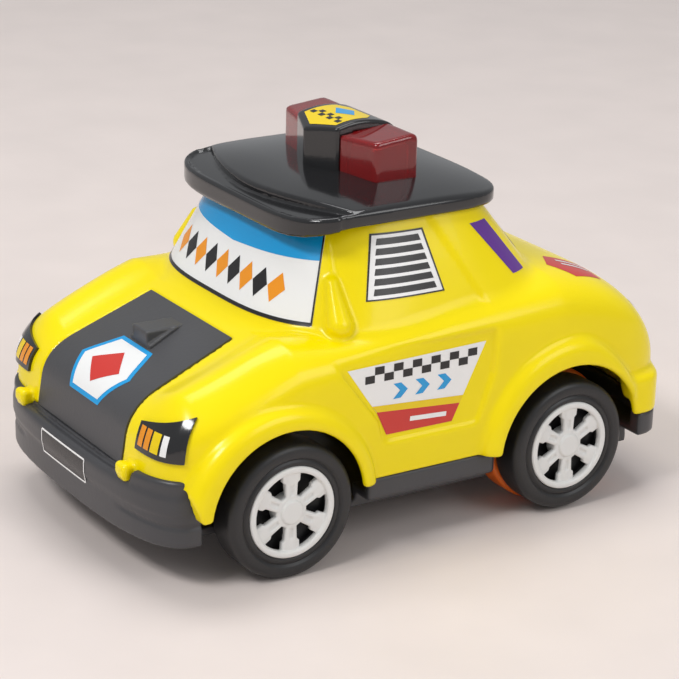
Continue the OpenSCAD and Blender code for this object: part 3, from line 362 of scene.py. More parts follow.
def main_field(x, y, z):
    """Lower body: upright flanks, a superellipse shoulder up to the top line, and raised wings."""
    top, half, d_top, d_half = (np.interp(y, fine_y, v) for v in (fine_z, fine_w, fine_dz, fine_dw))
    mid = SILL_TOP + MID_SHARE * (top - SILL_TOP)
    high = np.maximum(top - mid, 0.5)
    below = np.clip((mid - z) / np.maximum(mid - SILL_TOP, 1), 0, 1.3)
    half = np.maximum(half - FLANK_TUCK * below, 0.5)
    p = np.interp(y, (KNEE[0], CABIN_MID, TAIL[0]), SHOULDER_POWERS)
    u = np.abs(x) / half
    fade = step((y - KNEE[0]) / WING_RUN) * step((COWL[0] + WING_END - y) / WING_TAIL)
    wing = WING_RISE * fade * step(1 - np.abs(u - WING_PEAK) / WING_SPAN)
    v = np.maximum((z - wing - mid) / high, 0)
    r = (u**p + v**p) ** (1 / p) + 1e-6
    du, dv = (u / r) ** (p - 1), (v / r) ** (p - 1)
    dy = -du * u * d_half / half - dv * d_top * (MID_SHARE + (1 - MID_SHARE) * v) / high
    return (r - 1) / np.sqrt((du / half) ** 2 + (dv / high) ** 2 + dy**2 + 1e-9)


def cabin_field(x, y, z):
    """Cabin: a leaning superellipse plan that narrows upwards, with set-back side windows."""
    rise, height = z - COWL[1], CABIN_TOP - COWL[1]
    t = rise / height
    half = CABIN_BASE_HW + (CABIN_TOP_HW - CABIN_BASE_HW) * rise / height
    front, rear = SCREEN_FOOT_Y + SCREEN_LEAN * t, BACK_FOOT_Y - BACK_LEAN * t
    ahead = y < CABIN_MID
    length = np.where(ahead, CABIN_MID - front, rear - CABIN_MID)
    power = np.where(ahead, CABIN_FRONT_POWER, CABIN_REAR_POWER)
    plan = oval(np.abs(x), half, y - CABIN_MID, length, power)
    past_a = y - (PILLAR_A[0] + PILLAR_A_LEAN * (z - PILLAR_A[1]))
    before_c = (PILLAR_C[0] + (PILLAR_C[1] - z) * PILLAR_C_LEAN) - y
    window = step(0.5 + past_a / WINDOW_SOFT) * step(0.5 + before_c / WINDOW_SOFT)
    solid = np.maximum(plan + WINDOW_DEPTH * window, COWL[1] - WALL - z)
    return both(solid, z - CABIN_TOP, 1.0)


def bonnet_edge(y):
    """Half width of the bonnet panel."""
    share = np.clip((y - KNEE[0]) / (PANEL_REAR_Y - KNEE[0]), 0, 1)
    return PANEL_FRONT_HW - (PANEL_FRONT_HW - PANEL_REAR_HW) * share


def door_mask(y, z):
    """Field, on the flank, of the set-back door."""
    front = np.interp(z, *DOOR_FRONT) - y
    rear = y - np.interp(z, *DOOR_REAR)
    return both(both(front * 0.8, rear, 2), span(z, DOOR_LOW, DOOR_HIGH), 2)


def flare_field(ax, y, z, at, r):
    """A rolled lip round a wheel arch."""
    disc = both(np.hypot(y - at[0], z - at[1]) - r, ax - FLARE_OUT_X, FLARE_ROUND)
    return np.maximum(disc, FLARE_IN_X - ax)


def bow_plan(x, y, tip, half, curve):
    """Field of a plan that ends in a bow: full width up to the curve, and its tip at a Y."""
    ahead = np.maximum(np.sign(tip) * (y - tip) + curve, 0)
    return oval(x, half, ahead, curve, BUMPER_POWER)


def outer(x, y, z):
    """Outer surface of the body shell before its openings are cut."""
    ax = np.abs(x)
    door = both(door_mask(y, z), DOOR_FACE_X - ax, 0.8)
    shell = both(main_field(x, y, z), -door, 1.6)
    shell = either(shell, cabin_field(x, y, z), 2.4)
    shell = either(shell, flare_field(ax, y, z, FRONT_FLARE, FRONT_FLARE_R), FLARE_FILLET)
    rear_r = REAR_FLARE_R - REAR_FLARE_CUT * step((y - REAR_CUT_Y) / REAR_CUT_RUN)
    rear_flare = both(flare_field(ax, y, z, REAR_FLARE, rear_r), y - REAR_FLARE_END, 2)
    shell = either(shell, rear_flare, FLARE_FILLET)
    mirror = cone(ax, y, z, MIRROR_FOOT, MIRROR_HEAD, MIRROR_FOOT_R, MIRROR_HEAD_R)
    shell = either(shell, mirror, 1.6)
    plan = bow_plan(ax, y, TAIL_BUMPER_Y, TAIL_BUMPER_HW, TAIL_CURVE)
    ledge = both(np.maximum(plan, LEDGE_FRONT - y), z - LEDGE_TOP, 2.6)
    return either(shell, ledge, 1.2)


def shell_field(x, y, z):
    """Body shell: the outer surface, hollowed, with arches, lower edges and panel recesses cut.

    The wall is thicker at the nose and the tail, where a thin one would be too fine for the mesh.
    """
    ax = np.abs(x)
    skin = outer(x, y, z)
    bonnet = np.maximum(ax - bonnet_edge(y), y - PANEL_REAR_Y)
    recess = step(0.5 - (bonnet - RECESS_GAP) / RECESS_SOFT)
    more = 3 * step((THICK_NOSE_Y - y) / THICK_RUN) + 2 * step((y - THICK_TAIL_Y) / THICK_RUN)
    solid = np.maximum(skin + RECESS_DEPTH * recess, -(skin + WALL * (1 + more)))
    front_arch = FRONT_ARCH - np.hypot(y - FRONT_Y + ARCH_LEAD, z - FRONT_Z)
    rear_arch = REAR_ARCH - np.hypot(y - REAR_Y, z - REAR_Z)
    solid = both(solid, np.where(ax > ARCH_IN_X, np.maximum(front_arch, rear_arch), -5), 1.4)
    lip = (3.0 + 0.35 * np.clip(z - SILL_TOP, 0, 9)) * step((ax - LIP_X) / 0.8)
    front_cut = both(y - BUMPER_Y - BUMPER_CURVE + lip, z - BUMPER_TOP, 0.6)
    lower = SILL_TOP + (TAIL_BUMPER_TOP - SILL_TOP) * step((y - LEDGE_FRONT + 1) / 2)
    solid = both(both(solid, lower - z, 0.8), -front_cut, 0.6)
    return either(solid, box(ax, y, z, TAB_LOW, TAB_HIGH, 0.9), 0.8)


moulding("body_skin", shell_field, (-60, -92, 20), (60, 94, 99), 0.85, yellow, slot="body",
         stands_for=("body_shell",))


# Panels and prints that follow the body

RAY_BACK, RAY_REACH, RAY_STEPS, RAY_HALVINGS = 130, 180, 90, 18


def facing(way, u):
    """Unit ray direction, U axis and V axis of a view of the body."""
    way, u = np.array(way, float), np.array(u, float)
    way, u = way / np.linalg.norm(way), u / np.linalg.norm(u)
    return way, u, np.cross(u, way)


FROM_LEFT = facing((-1, 0, 0), (0, 1, 0))
FROM_FRONT = facing((0, 1, 0), (1, 0, 0))
FROM_BACK = facing((0, -1, 0), (-1, 0, 0))
FROM_NOSE = facing((0, 1, -1), (1, 0, 0))
FROM_TOP = facing((0, 0, -1), (1, 0, 0))
FROM_CORNER = {side: facing((-side, 1.7, 0), (1.7, side, 0)) for _, side in SIDES}


def land(field, starts, way):
    """Points where rays from the starts first meet the zero surface of a field."""
    stride = RAY_REACH / RAY_STEPS
    low = np.zeros(len(starts))
    found = np.zeros(len(starts), bool)
    for i in range(1, RAY_STEPS + 1):
        t = stride * i
        inside = field(*(starts + way * t).T) < 0
        low = np.where(inside & ~found, t - stride, low)
        found |= inside
    high = low + stride
    for _ in range(RAY_HALVINGS):
        mid = (low + high) / 2
        inside = field(*(starts + way * mid[:, None]).T) < 0
        low, high = np.where(inside, low, mid), np.where(inside, mid, high)
    return starts + way * low[:, None]


def cells(outlines, cell):
    """Flat points, faces and rim edges of outlines that are cut in small cells."""
    bm = bmesh.new()
    for outline in outlines:
        bm.faces.new([bm.verts.new((u, v, 0)) for u, v in outline])
    bm.normal_update()
    bmesh.ops.triangulate(bm, faces=bm.faces[:])
    flat = np.array([v.co for v in bm.verts])
    for axis in (0, 1):
        for cut in np.arange(flat[:, axis].min() + cell / 2, flat[:, axis].max(), cell):
            place, normal = [0, 0, 0], [0, 0, 0]
            place[axis], normal[axis] = cut, 1
            every = bm.verts[:] + bm.edges[:] + bm.faces[:]
            bmesh.ops.bisect_plane(bm, geom=every, plane_co=place, plane_no=normal)
    bm.verts.index_update()
    flat = np.array([v.co for v in bm.verts])
    faces = [[v.index for v in f.verts] for f in bm.faces]
    rim = [[v.index for v in e.verts] for e in bm.edges if e.is_boundary]
    bm.free()
    return flat, faces, rim


def laid(name, outlines, view, material, lift=0.1, depth=0.0, field=outer, cell=1.4, mirror=False,
         **how):
    """A print or panel: flat outlines laid on a surface along the view's rays."""
    way, u_axis, v_axis = view
    flat, faces, rim = cells(outlines, cell)
    starts = flat[:, :1] * u_axis + flat[:, 1:2] * v_axis - way * RAY_BACK
    points = land(field, starts, way)
    normal = slope_of(field, points)
    normal /= np.linalg.norm(normal, axis=1)[:, None] + 1e-9
    a, b, c = (points[[f[i] for f in faces]] for i in (0, 1, 2))
    turned = np.sum(np.cross(b - a, c - a) * normal[[f[0] for f in faces]], axis=1) < 0
    faces = [f[::-1] if t else f for f, t in zip(faces, turned)]
    top = points + normal * lift
    smooth = [True] * len(faces)
    if depth:
        n, m = len(top), len(rim)
        bottom = points - normal * depth
        walls = [[2 * n + 4 * i + j for j in range(4)] for i in range(m)]
        from_end, to_end = np.array(rim).T
        corners = (top[from_end], top[to_end], bottom[to_end], bottom[from_end])
        faces = faces + [[v + n for v in f[::-1]] for f in faces] + walls
        smooth = [True] * (len(faces) - m) + [False] * m
        top = np.concatenate([top, bottom, np.stack(corners, axis=1).reshape(-1, 3)])
    if mirror:
        faces = faces + [[v + len(top) for v in f[::-1]] for f in faces]
        smooth = smooth + smooth
        top = np.concatenate([top, top * [-1, 1, 1]])
    made = piece(name, top, faces, material, **how)
    made.data.polygons.foreach_set("use_smooth", smooth)
    return made


def strip(a, b, width):
    """Outline of a straight bar from a to b."""
    d = np.array(b, float) - a
    n = np.array([-d[1], d[0]]) / np.linalg.norm(d) * width / 2
    return [tuple(v) for v in (a + n, a - n, b - n, b + n)]


def frame_strips(outline, width):
    """Bars along every side of an outline, inside it."""
    centre = np.mean(outline, axis=0)
    arms = [np.array(v) - centre for v in outline]
    inner = [tuple(centre + arm * (1 - width / np.linalg.norm(arm))) for arm in arms]
    n = len(outline)
    return [[outline[i], outline[(i + 1) % n], inner[(i + 1) % n], inner[i]] for i in range(n)]


def shrunk(outline, share):
    """Outline drawn in towards its middle."""
    centre = np.mean(outline, axis=0)
    return [tuple(centre + (np.array(v) - centre) * share) for v in outline]


bonnet_outline = [(-26.2, -38.5), (26.2, -38.5), (26.1, -25), (23.8, 8.5), (-23.8, 8.5), (-26.1, -25)]
laid("bonnet_insert", [bonnet_outline], FROM_NOSE, grey, lift=0.1, depth=0.85, slot="panel",
     stands_for=("bonnet_panel",))

SCOOP_FRONT, SCOOP_REAR, SCOOP_TOP, SCOOP_HW = -65.9, -53.6, 59.9, 3.9
BONNET_SLOPE = 0.406


def scoop_field(x, y, z):
    """Small scoop that tapers back into the bonnet and stands on a wider foot."""
    taper = np.clip((SCOOP_REAR - y) / (SCOOP_REAR - SCOOP_FRONT), 0, 1.05)
    slope = KNEE[1] + BONNET_SLOPE * (y - KNEE[0])
    foot = 1.5 * step((slope + 1.5 - z) / 0.5)
    half = SCOOP_HW + (0.5 + foot) * taper
    front = SCOOP_FRONT - y - 0.1 * (z - 56)
    scoop = both(both(np.abs(x) - half, z - SCOOP_TOP, 0.7), front, 0.7)
    return np.maximum(scoop, slope - 0.7 - z)


moulding("bonnet_scoop", scoop_field, (-7, -68, 52), (7, -52, 62), 0.4, grey, slot="panel")

screen_outline = [(-40, 67.0), (40, 67.0), (31.2, 92.0), (-31.2, 92.0)]
laid("screen_sheet", [screen_outline], FROM_FRONT, print_white, lift=0.12, depth=0.9,
     slot="screen_print", stands_for=("windscreen_panel",))

LAMP_IN, LAMP_OUT, LAMP_LOW, LAMP_HIGH = 33.6, 49.6, 38.8, 45.8
NOSE_LEAN = 0.15


def on_corner(x, z):
    """Flat place, seen from the nose's left corner, of a point of the body at x and z."""
    y = BODY_MID - BODY_HL * bow(np.array(x / BODY_HW), PLAN_POWER) + NOSE_LEAN * (z - NOSE[1])
    return float(np.dot((x, float(y), z), FROM_CORNER[1][1])), z


def lamp_top(x):
    """Height of a headlight's upper edge, which climbs outwards."""
    t = (x - LAMP_IN) / (LAMP_OUT - LAMP_IN)
    return LAMP_HIGH + 3.2 * t + 1.4 * t**4


lamp_x = np.linspace(LAMP_IN, LAMP_OUT, 9)
lamp_outline = [on_corner(x, LAMP_LOW) for x in lamp_x]
lamp_outline += [on_corner(x, lamp_top(x)) for x in lamp_x[::-1]]
for name, side in SIDES:
    lamp_shape = [(u * side, v) for u, v in lamp_outline]
    laid("lamp_" + name, [lamp_shape], FROM_CORNER[side], black, lift=0.9, depth=0.8,
         slot="black_gloss", stands_for=("headlight_" + name,))


# Roof cap, light bar and sign

STEP_Y, STEP_BOW = -31.0, 0.0068
CROWN_RISE, CROWN_POWER = 2.9, 2.6
BRIM_LOW, BRIM_LIP, BRIM_PROUD, BRIM_PROUD_Y = 1.3, 0.8, 0.8, -24.0
ROOF_WALL, CEILING_DROP, CEILING_Y, CEILING_RUN = 2.6, 5, -14, 8
LENS_FRONT, LENS_SWEEP, LENS_SWEEP_COS = -7.1, 0.26, 0.968
LENS_TOP, LENS_TILT, LENS_WALL, LENS_POST_HW = 112.0, 0.1, 2.2, 13.4
COVER_TIP, COVER_SWEEP, COVER_SWEEP_COS = -12.3, 0.41, 0.925
COVER_TOP, COVER_ARCH, COVER_REAR = 115.3, 0.018, 17.0
COVER_SLOPE_AT, COVER_SLOPE = (10.6, 114.4), (0.78, 0.62)
SADDLE_TOP, BAR_FOOT = 112.4, 100.0


def roof_field(x, y, z):
    """Roof cap: a domed crown that steps down to a lipped, dipping brim at the front."""
    half_l = np.where(y < 0, -ROOF_FRONT, ROOF_REAR)
    proud = BRIM_PROUD * step(BRIM_PROUD_Y - y)
    plan = oval(x, ROOF_HW, y, half_l, ROOF_POWER) - proud + 0.2
    r = ((np.abs(x) / ROOF_HW) ** 3 + (np.abs(y) / half_l) ** 3) ** (1 / 3)
    dip = BRIM_DROP * np.clip((BRIM_Y - y) / (BRIM_Y - ROOF_FRONT), 0, 1.2) ** 2
    dome = SKIRT_TOP + CROWN_RISE * np.clip(1 - r**CROWN_POWER, -0.3, 1) - 0.3 * dip
    crown = both(plan + 0.3, z - dome, 1.6)
    crown = both(crown, STEP_Y + STEP_BOW * x**2 - y, 0.8)
    lip = BRIM_LIP * step((plan + 1.9) / 0.8)
    brim = both(plan, z - (SKIRT_TOP - BRIM_LOW - 0.5 * dip + lip), 1.0)
    solid = both(either(crown, brim, 0.4), SKIRT_Z - dip - z, 1.2)
    ceiling = CABIN_TOP + 0.2 - CEILING_DROP * np.clip((CEILING_Y - y) / CEILING_RUN, 0, 1)
    return both(solid, -both(plan + ROOF_WALL, z - ceiling, 0.8), 0.8)


moulding("roof_dome", roof_field, (-44, -38, 88), (44, 37, 104), 0.7, black, slot="black_gloss",
         stands_for=("roof_cap",))


def lens_field(x, y, z):
    """Light bar: a block whose front sweeps back from the cover to the ends, hollow at its ends."""
    ax = np.abs(x)
    front = (LENS_FRONT + LENS_SWEEP * np.clip(ax - COVER_HW, 0, 20) - y) * LENS_SWEEP_COS
    top = z - (LENS_TOP + LENS_TILT * (y + 5))
    block = both(both(ax - BAR_HW, front, 1.4), both(y - BAR_REAR, top, 2.4), 1.4)
    inside = np.maximum(np.maximum(block + LENS_WALL, 98 - z), LENS_POST_HW - ax)
    notch = np.minimum(COVER_HW + 0.1 - ax, BAR_FRONT - y)
    return np.maximum(np.maximum(np.maximum(block, BAR_FOOT - z), -inside), notch)


moulding("lens", lens_field, (-27, -10, 99), (27, 13, 117), 0.6, red_lens, slot="red_lens",
         stands_for=("light_bar_lens",))


def cover_field(x, y, z):
    """Saddle over the lens, with a prow, an arched top and a sloping rear."""
    ax = np.abs(x)
    front = (COVER_TIP + COVER_SWEEP * ax - y) * COVER_SWEEP_COS
    top = z - (COVER_TOP - COVER_ARCH * (y - 1.0) ** 2)
    slope = (z - COVER_SLOPE_AT[1]) * COVER_SLOPE[1] + (y - COVER_SLOPE_AT[0]) * COVER_SLOPE[0]
    rear = both(slope, y - COVER_REAR, 2.0)
    solid = both(both(ax - COVER_HW, front, 0.9), both(top, rear, 1.6), 0.9)
    saddle = np.maximum(span(y, BAR_FRONT, BAR_REAR), z - SADDLE_TOP)
    return np.maximum(np.maximum(solid, BAR_FOOT - z), -saddle)


moulding("cover", cover_field, (-13, -14, 100), (13, 19, 117), 0.5, black, slot="black_gloss",
         stands_for=("sign_cover",))


# Chassis: floor with sills, and the two bumpers

PAN_LOW, PAN_TOP, PAN_FRONT, PAN_REAR = 12.0, 14.5, -79, 80
FRONT_WELL, REAR_WELL = (-70.3, -25.5), (24.9, 71.3)
FRONT_WELL_HW, REAR_WELL_HW, MIDDLE_HW, END_HW = 42.1, 33.6, 46.0, 43.6
MOTOR_HOLE, MOTOR_HOLE_HW = (8.9, 66.4), 18.4
SILL_LOW, SILL_STEP, SILL_IN_X, SILL_OUT_X = 16.5, 18.9, 50.6, 53.0
SILL_ENDS = (-21.0, 22.7)
BEAM, BEAM_TOP = (74.9, 79.9), 19.5
BUMPER_LOW, BUMPER_BASE_TOP, BUMPER_REST_Z = 14.0, 16.5, 31.05
SEAM_Z, SEAM_DEPTH, SEAM_WIDTH, SEAM_X = 20.6, 0.5, 1.2, 27
SWELL, SWELL_LOW, SWELL_HIGH = 0.55, 22.5, 30.5
RIM_TOP, RIM_END_X, RIM_END_RISE, RIM_INSET = 30.4, 34.6, 2.8, 0.6
TAIL_BASE_TOP, TAIL_RIM, TAIL_INSET = 21.0, 5.0, 0.3


def floor_field(x, y, z):
    """Floor pan with wheel wells, a hole for the motor, stepped sills and a beam at the tail."""
    ax = np.abs(x)
    zones = [span(y, *FRONT_WELL) < 0, span(y, *REAR_WELL) < 0]
    zones.append(span(y, FRONT_WELL[1], REAR_WELL[0]) <= 0)
    half = np.select(zones, [FRONT_WELL_HW, REAR_WELL_HW, MIDDLE_HW], END_HW)
    pan = np.maximum(np.maximum(ax - half, span(y, PAN_FRONT, PAN_REAR)), span(z, PAN_LOW, PAN_TOP))
    hole = np.maximum(ax - MOTOR_HOLE_HW, span(y, *MOTOR_HOLE))
    pan = np.maximum(pan, -hole)
    riser = np.maximum(span(ax, END_HW, MIDDLE_HW), span(z, PAN_LOW, SILL_STEP))
    tread = np.maximum(span(ax, END_HW, SILL_OUT_X), span(z, SILL_LOW, SILL_STEP))
    wall = np.maximum(span(ax, SILL_IN_X, SILL_OUT_X), span(z, SILL_LOW, SILL_TOP))
    sill = np.maximum(np.minimum(np.minimum(riser, tread), wall), span(y, *SILL_ENDS))
    beam = np.maximum(np.maximum(ax - END_HW, span(y, *BEAM)), span(z, PAN_LOW, BEAM_TOP))
    return np.minimum(np.minimum(pan, sill), beam)


def front_bumper_field(x, y, z):
    """Front bumper: a bowed wall with raised ends, a lipped top and a seam at each end."""
    ax = np.abs(x)
    plan = bow_plan(x, y, BUMPER_Y, BUMPER_HW, BUMPER_CURVE)
    off_seam = np.abs(z - SEAM_Z + 0.05 * (ax - 40))
    seam = SEAM_DEPTH * step(1 - off_seam / SEAM_WIDTH) * step((ax - SEAM_X) / 6)
    swell = SWELL * step((SWELL_HIGH - z) / 3) * step((z - SWELL_LOW) / 2)
    tops = RIM_TOP + RIM_END_RISE * step((ax - RIM_END_X) / 1.2) + 0.4 * step((ax - 36) / 10)
    groove = 0.45 * step(1 - np.abs(plan + 3.0) / 0.6) * step((30 - ax) / 2)
    raised = 1.2 * step((-3.5 - plan) / 0.4)
    rim = both(plan + seam + RIM_INSET - swell, z - tops + groove - raised, 1.7)
    rim = np.maximum(rim, -(plan + np.where(z > BUMPER_REST_Z, 3.6, 6.0)))
    base = np.maximum(plan + RIM_INSET, z - BUMPER_BASE_TOP)
    solid = both(np.minimum(rim, base), BUMPER_LOW - z, 0.8)
    return np.maximum(solid, y - BUMPER_Y - BUMPER_CURVE)


def rear_bumper_field(x, y, z):
    """Rear bumper: a plain bowed wall on a base."""
    plan = bow_plan(x, y, TAIL_BUMPER_Y, TAIL_BUMPER_HW, TAIL_CURVE)
    rim = np.maximum(both(plan + TAIL_INSET, z - TAIL_BUMPER_TOP, 0.5), -(plan + TAIL_RIM))
    base = np.maximum(plan + TAIL_INSET, z - TAIL_BASE_TOP)
    solid = both(np.minimum(rim, base), TAIL_BUMPER_LOW - z, 0.9)
    return np.maximum(solid, TAIL_BUMPER_Y - TAIL_CURVE - y)


for name, field, low, high, pitch in (
        ("floor_pan", floor_field, (-54, -80, 11), (54, 81, 24), 0.85),
        ("front_bumper", front_bumper_field, (-54, -92.4, 13), (54, -72.8, 35.5), 0.6),
        ("rear_bumper", rear_bumper_field, (-55, 73.8, 17), (55, 91.6, 27), 0.8)):
    made = moulding(name, field, low, high, pitch, chassis_grey, slot="chassis")
    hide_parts("chassis")


# Printed stickers, all of a plain design

LAYER_1, LAYER_2, LAYER_3 = 0.08, 0.14, 0.2
SCREEN_LAYER_1, SCREEN_LAYER_2 = 0.18, 0.24


def row(count, low, high):
    """Even cells between two values, as pairs of ends."""
    ends = np.linspace(low, high, count + 1)
    return list(zip(ends[:-1], ends[1:]))


def rect(u, v):
    """Rectangle between the ends of u and v."""
    return [(u[0], v[0]), (u[1], v[0]), (u[1], v[1]), (u[0], v[1])]


def diamond(u, v, half_u, half_v):
    """Diamond round a middle."""
    return [(u - half_u, v), (u, v - half_v), (u + half_u, v), (u, v + half_v)]


def hexagon(u, v, half_u, half_v, cut):
    """Six-sided plate round a middle, with its points along u."""
    return [(u - half_u, v), (u - half_u + cut, v - half_v), (u + half_u - cut, v - half_v),
            (u + half_u, v), (u + half_u - cut, v + half_v), (u - half_u + cut, v + half_v)]


def chevron(u, v, w, h):
    """Arrow band that points along u."""
    return [(u, v - h), (u + w, v - h), (u + w + h, v), (u + w, v + h), (u, v + h), (u + h, v)]


def checks(cols, rows):
    """Every second cell of a grid."""
    return [rect(c, r) for i, c in enumerate(cols) for j, r in enumerate(rows) if (i + j) % 2 == 0]


def on_screen(name, shapes, material, lift, cell=1.4):
    """A print on the windscreen."""
    laid(name, shapes, FROM_FRONT, material, lift=lift, cell=cell, slot="screen_print")


def on_bonnet(name, shapes, material, lift):
    """A print on the bonnet panel."""
    laid(name, shapes, FROM_NOSE, material, lift=lift, slot="panel")


def on_body(name, shapes, view, material, lift, mirror=True):
    """A print on the shell, on both sides where it is mirrored."""
    laid(name, shapes, view, material, lift=lift, mirror=mirror, slot="body")


def on_bumper(name, shapes, material, lift):
    """A print on the front bumper."""
    laid(name, shapes, FROM_FRONT, material, lift=lift, field=front_bumper_field, slot="chassis")


def on_cover(name, shapes, material, lift):
    """A print on the top of the sign's cover."""
    laid(name, shapes, FROM_TOP, material, lift=lift, field=cover_field, cell=1.0, slot="black_gloss")


# Windscreen: a blue sun band, a dark border and a row of diamonds in two colours
sun_band = [(-33.9, 83.6), (0, 81.6), (33.9, 83.6), (31.2, 91.9), (-31.2, 91.9)]
screen_edges = [strip((-39.6, 67.5), (39.6, 67.5), 1.0)]
screen_edges += [strip((39.75 * side, 67.2), (31.0 * side, 91.9), 0.35) for _, side in SIDES]
screen_row = [diamond(u, 75, 3.1, 4.0) for u in np.linspace(-26, 26, 9)]
on_screen("sun_band", [sun_band], print_blue, SCREEN_LAYER_1)
on_screen("screen_border", screen_edges, print_black, SCREEN_LAYER_2, cell=1.1)
on_screen("screen_amber", screen_row[::2], print_amber, SCREEN_LAYER_1)
on_screen("screen_black", screen_row[1::2], print_black, SCREEN_LAYER_1)

# Bonnet: a six-sided badge
BADGE_V, BADGE_SHARE, BADGE_CUT = -18.8, 0.72, 0.4
for name, half, material, lift in (("rim", 14.6, print_blue, 0.16), ("keyline", 12.8, print_white, 0.22)):
    plate = hexagon(0, BADGE_V, half, half * BADGE_SHARE, half * BADGE_CUT)
    on_bonnet("badge_" + name, [plate], material, lift)
on_bonnet("badge_diamond", [diamond(0, BADGE_V, 8.2, 6.2)], print_red, 0.28)

# Doors: checks, bands and chevrons
door_print = [(-29.4, 57.4), (-22.8, 48.0), (-18.0, 41.4), (-15.9, 36.0), (6.6, 35.8), (17.6, 58.4)]
for name, shapes, material, lift in (
        ("white", [door_print], print_white, LAYER_1),
        ("red", [[(-15.9, 36.0), (6.6, 35.8), (9.1, 41.0), (-19.4, 43.4)]], print_red, LAYER_2),
        ("yellow", [[(-19.4, 43.4), (9.1, 41.0), (10.2, 43.2), (-20.9, 45.4)]], print_yellow, LAYER_2),
        ("checks", checks(row(12, -23.5, 14.5), row(2, 52.4, 57.0)), print_black, LAYER_2),
        ("chevrons", [chevron(u, 48.7, 2.6, 2.3) for u in (-14, -6.5, 1)], print_blue, LAYER_2),
        ("stripe", [strip((-8, 39.4), (4.5, 38.6), 1.4)], print_white, LAYER_3)):
    on_body("door_" + name, shapes, FROM_LEFT, material, lift)

# Side windows: pale panes with dark slats and edges, and a strip on each rear pillar
WINDOW_FOOT, SLAT_SHARE, SLAT_HEIGHT, SLAT_GAP = 73.2, 0.94, 1.8, 1.2
window_print = [(-18.2, WINDOW_FOOT), (7.0, WINDOW_FOOT), (3.2, 90.6), (-13.4, 90.6)]


def slat(low, high):
    """Dark slat at the foot of a band of the side window."""
    front = [-17.9 + 0.276 * (v - WINDOW_FOOT) + SLAT_GAP for v in (low, high)]
    rear = [6.7 - 0.218 * (v - WINDOW_FOOT) - SLAT_GAP for v in (low, high)]
    band = [(front[0], low), (rear[0], low), (rear[1], high), (front[1], high)]
    a, b, c, d = shrunk(band, SLAT_SHARE)
    return [a, b, (c[0], low + SLAT_HEIGHT), (d[0], low + SLAT_HEIGHT)]


pillar_print = [(19.0, 89.7), (25.6, 89.8), (37.9, 74.0), (32.1, 74.0)]
on_body("window_pale", [window_print], FROM_LEFT, print_white, LAYER_1)
on_body("window_slats", [slat(*ends) for ends in row(6, 74.4, 90.0)], FROM_LEFT, print_black, LAYER_2)
on_body("window_edge", frame_strips(window_print, 0.7), FROM_LEFT, print_black, LAYER_2)
on_body("pillar_strip", [pillar_print], FROM_LEFT, print_purple, 0.1)

# Boot: a red patch with pale lines on each shoulder
boot_patch = [(29.5, 54.5), (37.5, 50), (45, 55.5), (42.5, 67), (31.5, 67)]
boot_lines = [strip((u, 56.5), (u + 1.6, 65.5), 1.2) for u in (33.2, 36.2)]
on_body("boot_red", [boot_patch], FROM_TOP, print_red, LAYER_1)
on_body("boot_lines", boot_lines, FROM_TOP, print_white, LAYER_2)

# Back: a dark rear window in a pale frame, and tail lamps
rear_window = [(-33, 77), (33, 77), (27, 91), (-27, 91)]
tail_lamp = [(33, 50), (46, 50), (45, 58.5), (35, 58.5)]
on_body("rear_window", [rear_window], FROM_BACK, print_black, LAYER_1, mirror=False)
on_body("rear_window_frame", frame_strips(rear_window, 1.4), FROM_BACK, print_white, LAYER_2, mirror=False)
on_body("tail_lamps", [tail_lamp], FROM_BACK, print_red, LAYER_1)
on_body("tail_lamp_bars", [rect((36.5, 43.5), (51.6, 53.8))], FROM_BACK, print_amber, LAYER_2)

# Headlights: amber bars, a yellow bar and a pale strip, on both sides
LAMP_PRINTS = (("bars", ((34.9, 37.1), (37.8, 40.0)), print_amber),
               ("glow", ((40.7, 43.6),), print_yellow),
               ("strip", ((44.3, 46.0),), print_white))
LAMP_PRINT_Z, LAMP_PRINT_LIFT = (40.2, 45.2), 1.0
for name, side in SIDES:
    for what, bars, material in LAMP_PRINTS:
        shapes = [[on_corner(x, z) for x, z in rect(ends, LAMP_PRINT_Z)] for ends in bars]
        shapes = [[(u * side, v) for u, v in shape] for shape in shapes]
        laid(f"lamp_{what}_{name}", shapes, FROM_CORNER[side], material, lift=LAMP_PRINT_LIFT,
             slot="black_gloss")

# Bumper: a bare plate in a thin frame
plate = rect((-14.5, 12.5), (21.6, 28.6))
plate_edges = [strip(a, b, 0.5) for a, b in zip(plate, plate[1:] + plate[:1])]
on_bumper("plate", [plate], print_black, LAYER_1)
on_bumper("plate_frame", plate_edges, print_white, LAYER_2)

# Cover: a sign with checks and a diamond
sign = [(-8.6, -6.8), (0, -10.2), (8.6, -6.8), (8.6, 4.0), (5.4, 7.0), (-5.4, 7.0), (-8.6, 4.0)]
on_cover("sign", [sign], print_yellow, LAYER_1)
on_cover("sign_checks", checks(row(7, -7.7, 7.7), row(2, -5.6, -2.4)), print_black, LAYER_2)
on_cover("sign_diamond", [diamond(0, 1.8, 5.0, 3.2)], print_blue, LAYER_2)


# Wheels: one tyre and one hub are drawn, and each is placed four times

RIM_IN, RIM_OUT, SPOKE_BACK, HUB_BACK = 11.6, 13.6, -2.6, -5.0
CAP_R, COLLAR_R, COLLAR_FACE = 3.6, 4.9, -0.8
SPOKE_HW, SPOKE_GROWTH, SPOKE_FOOT, SPOKE_FOOT_R = 1.55, 0.06, 0.75, 8.3
SPOKE_FACE, SPOKE_EDGE = -0.75, 0.25
GROOVE_DEPTH, GROOVE_IN, GROOVE_OUT = 0.55, 4.6, 8.4


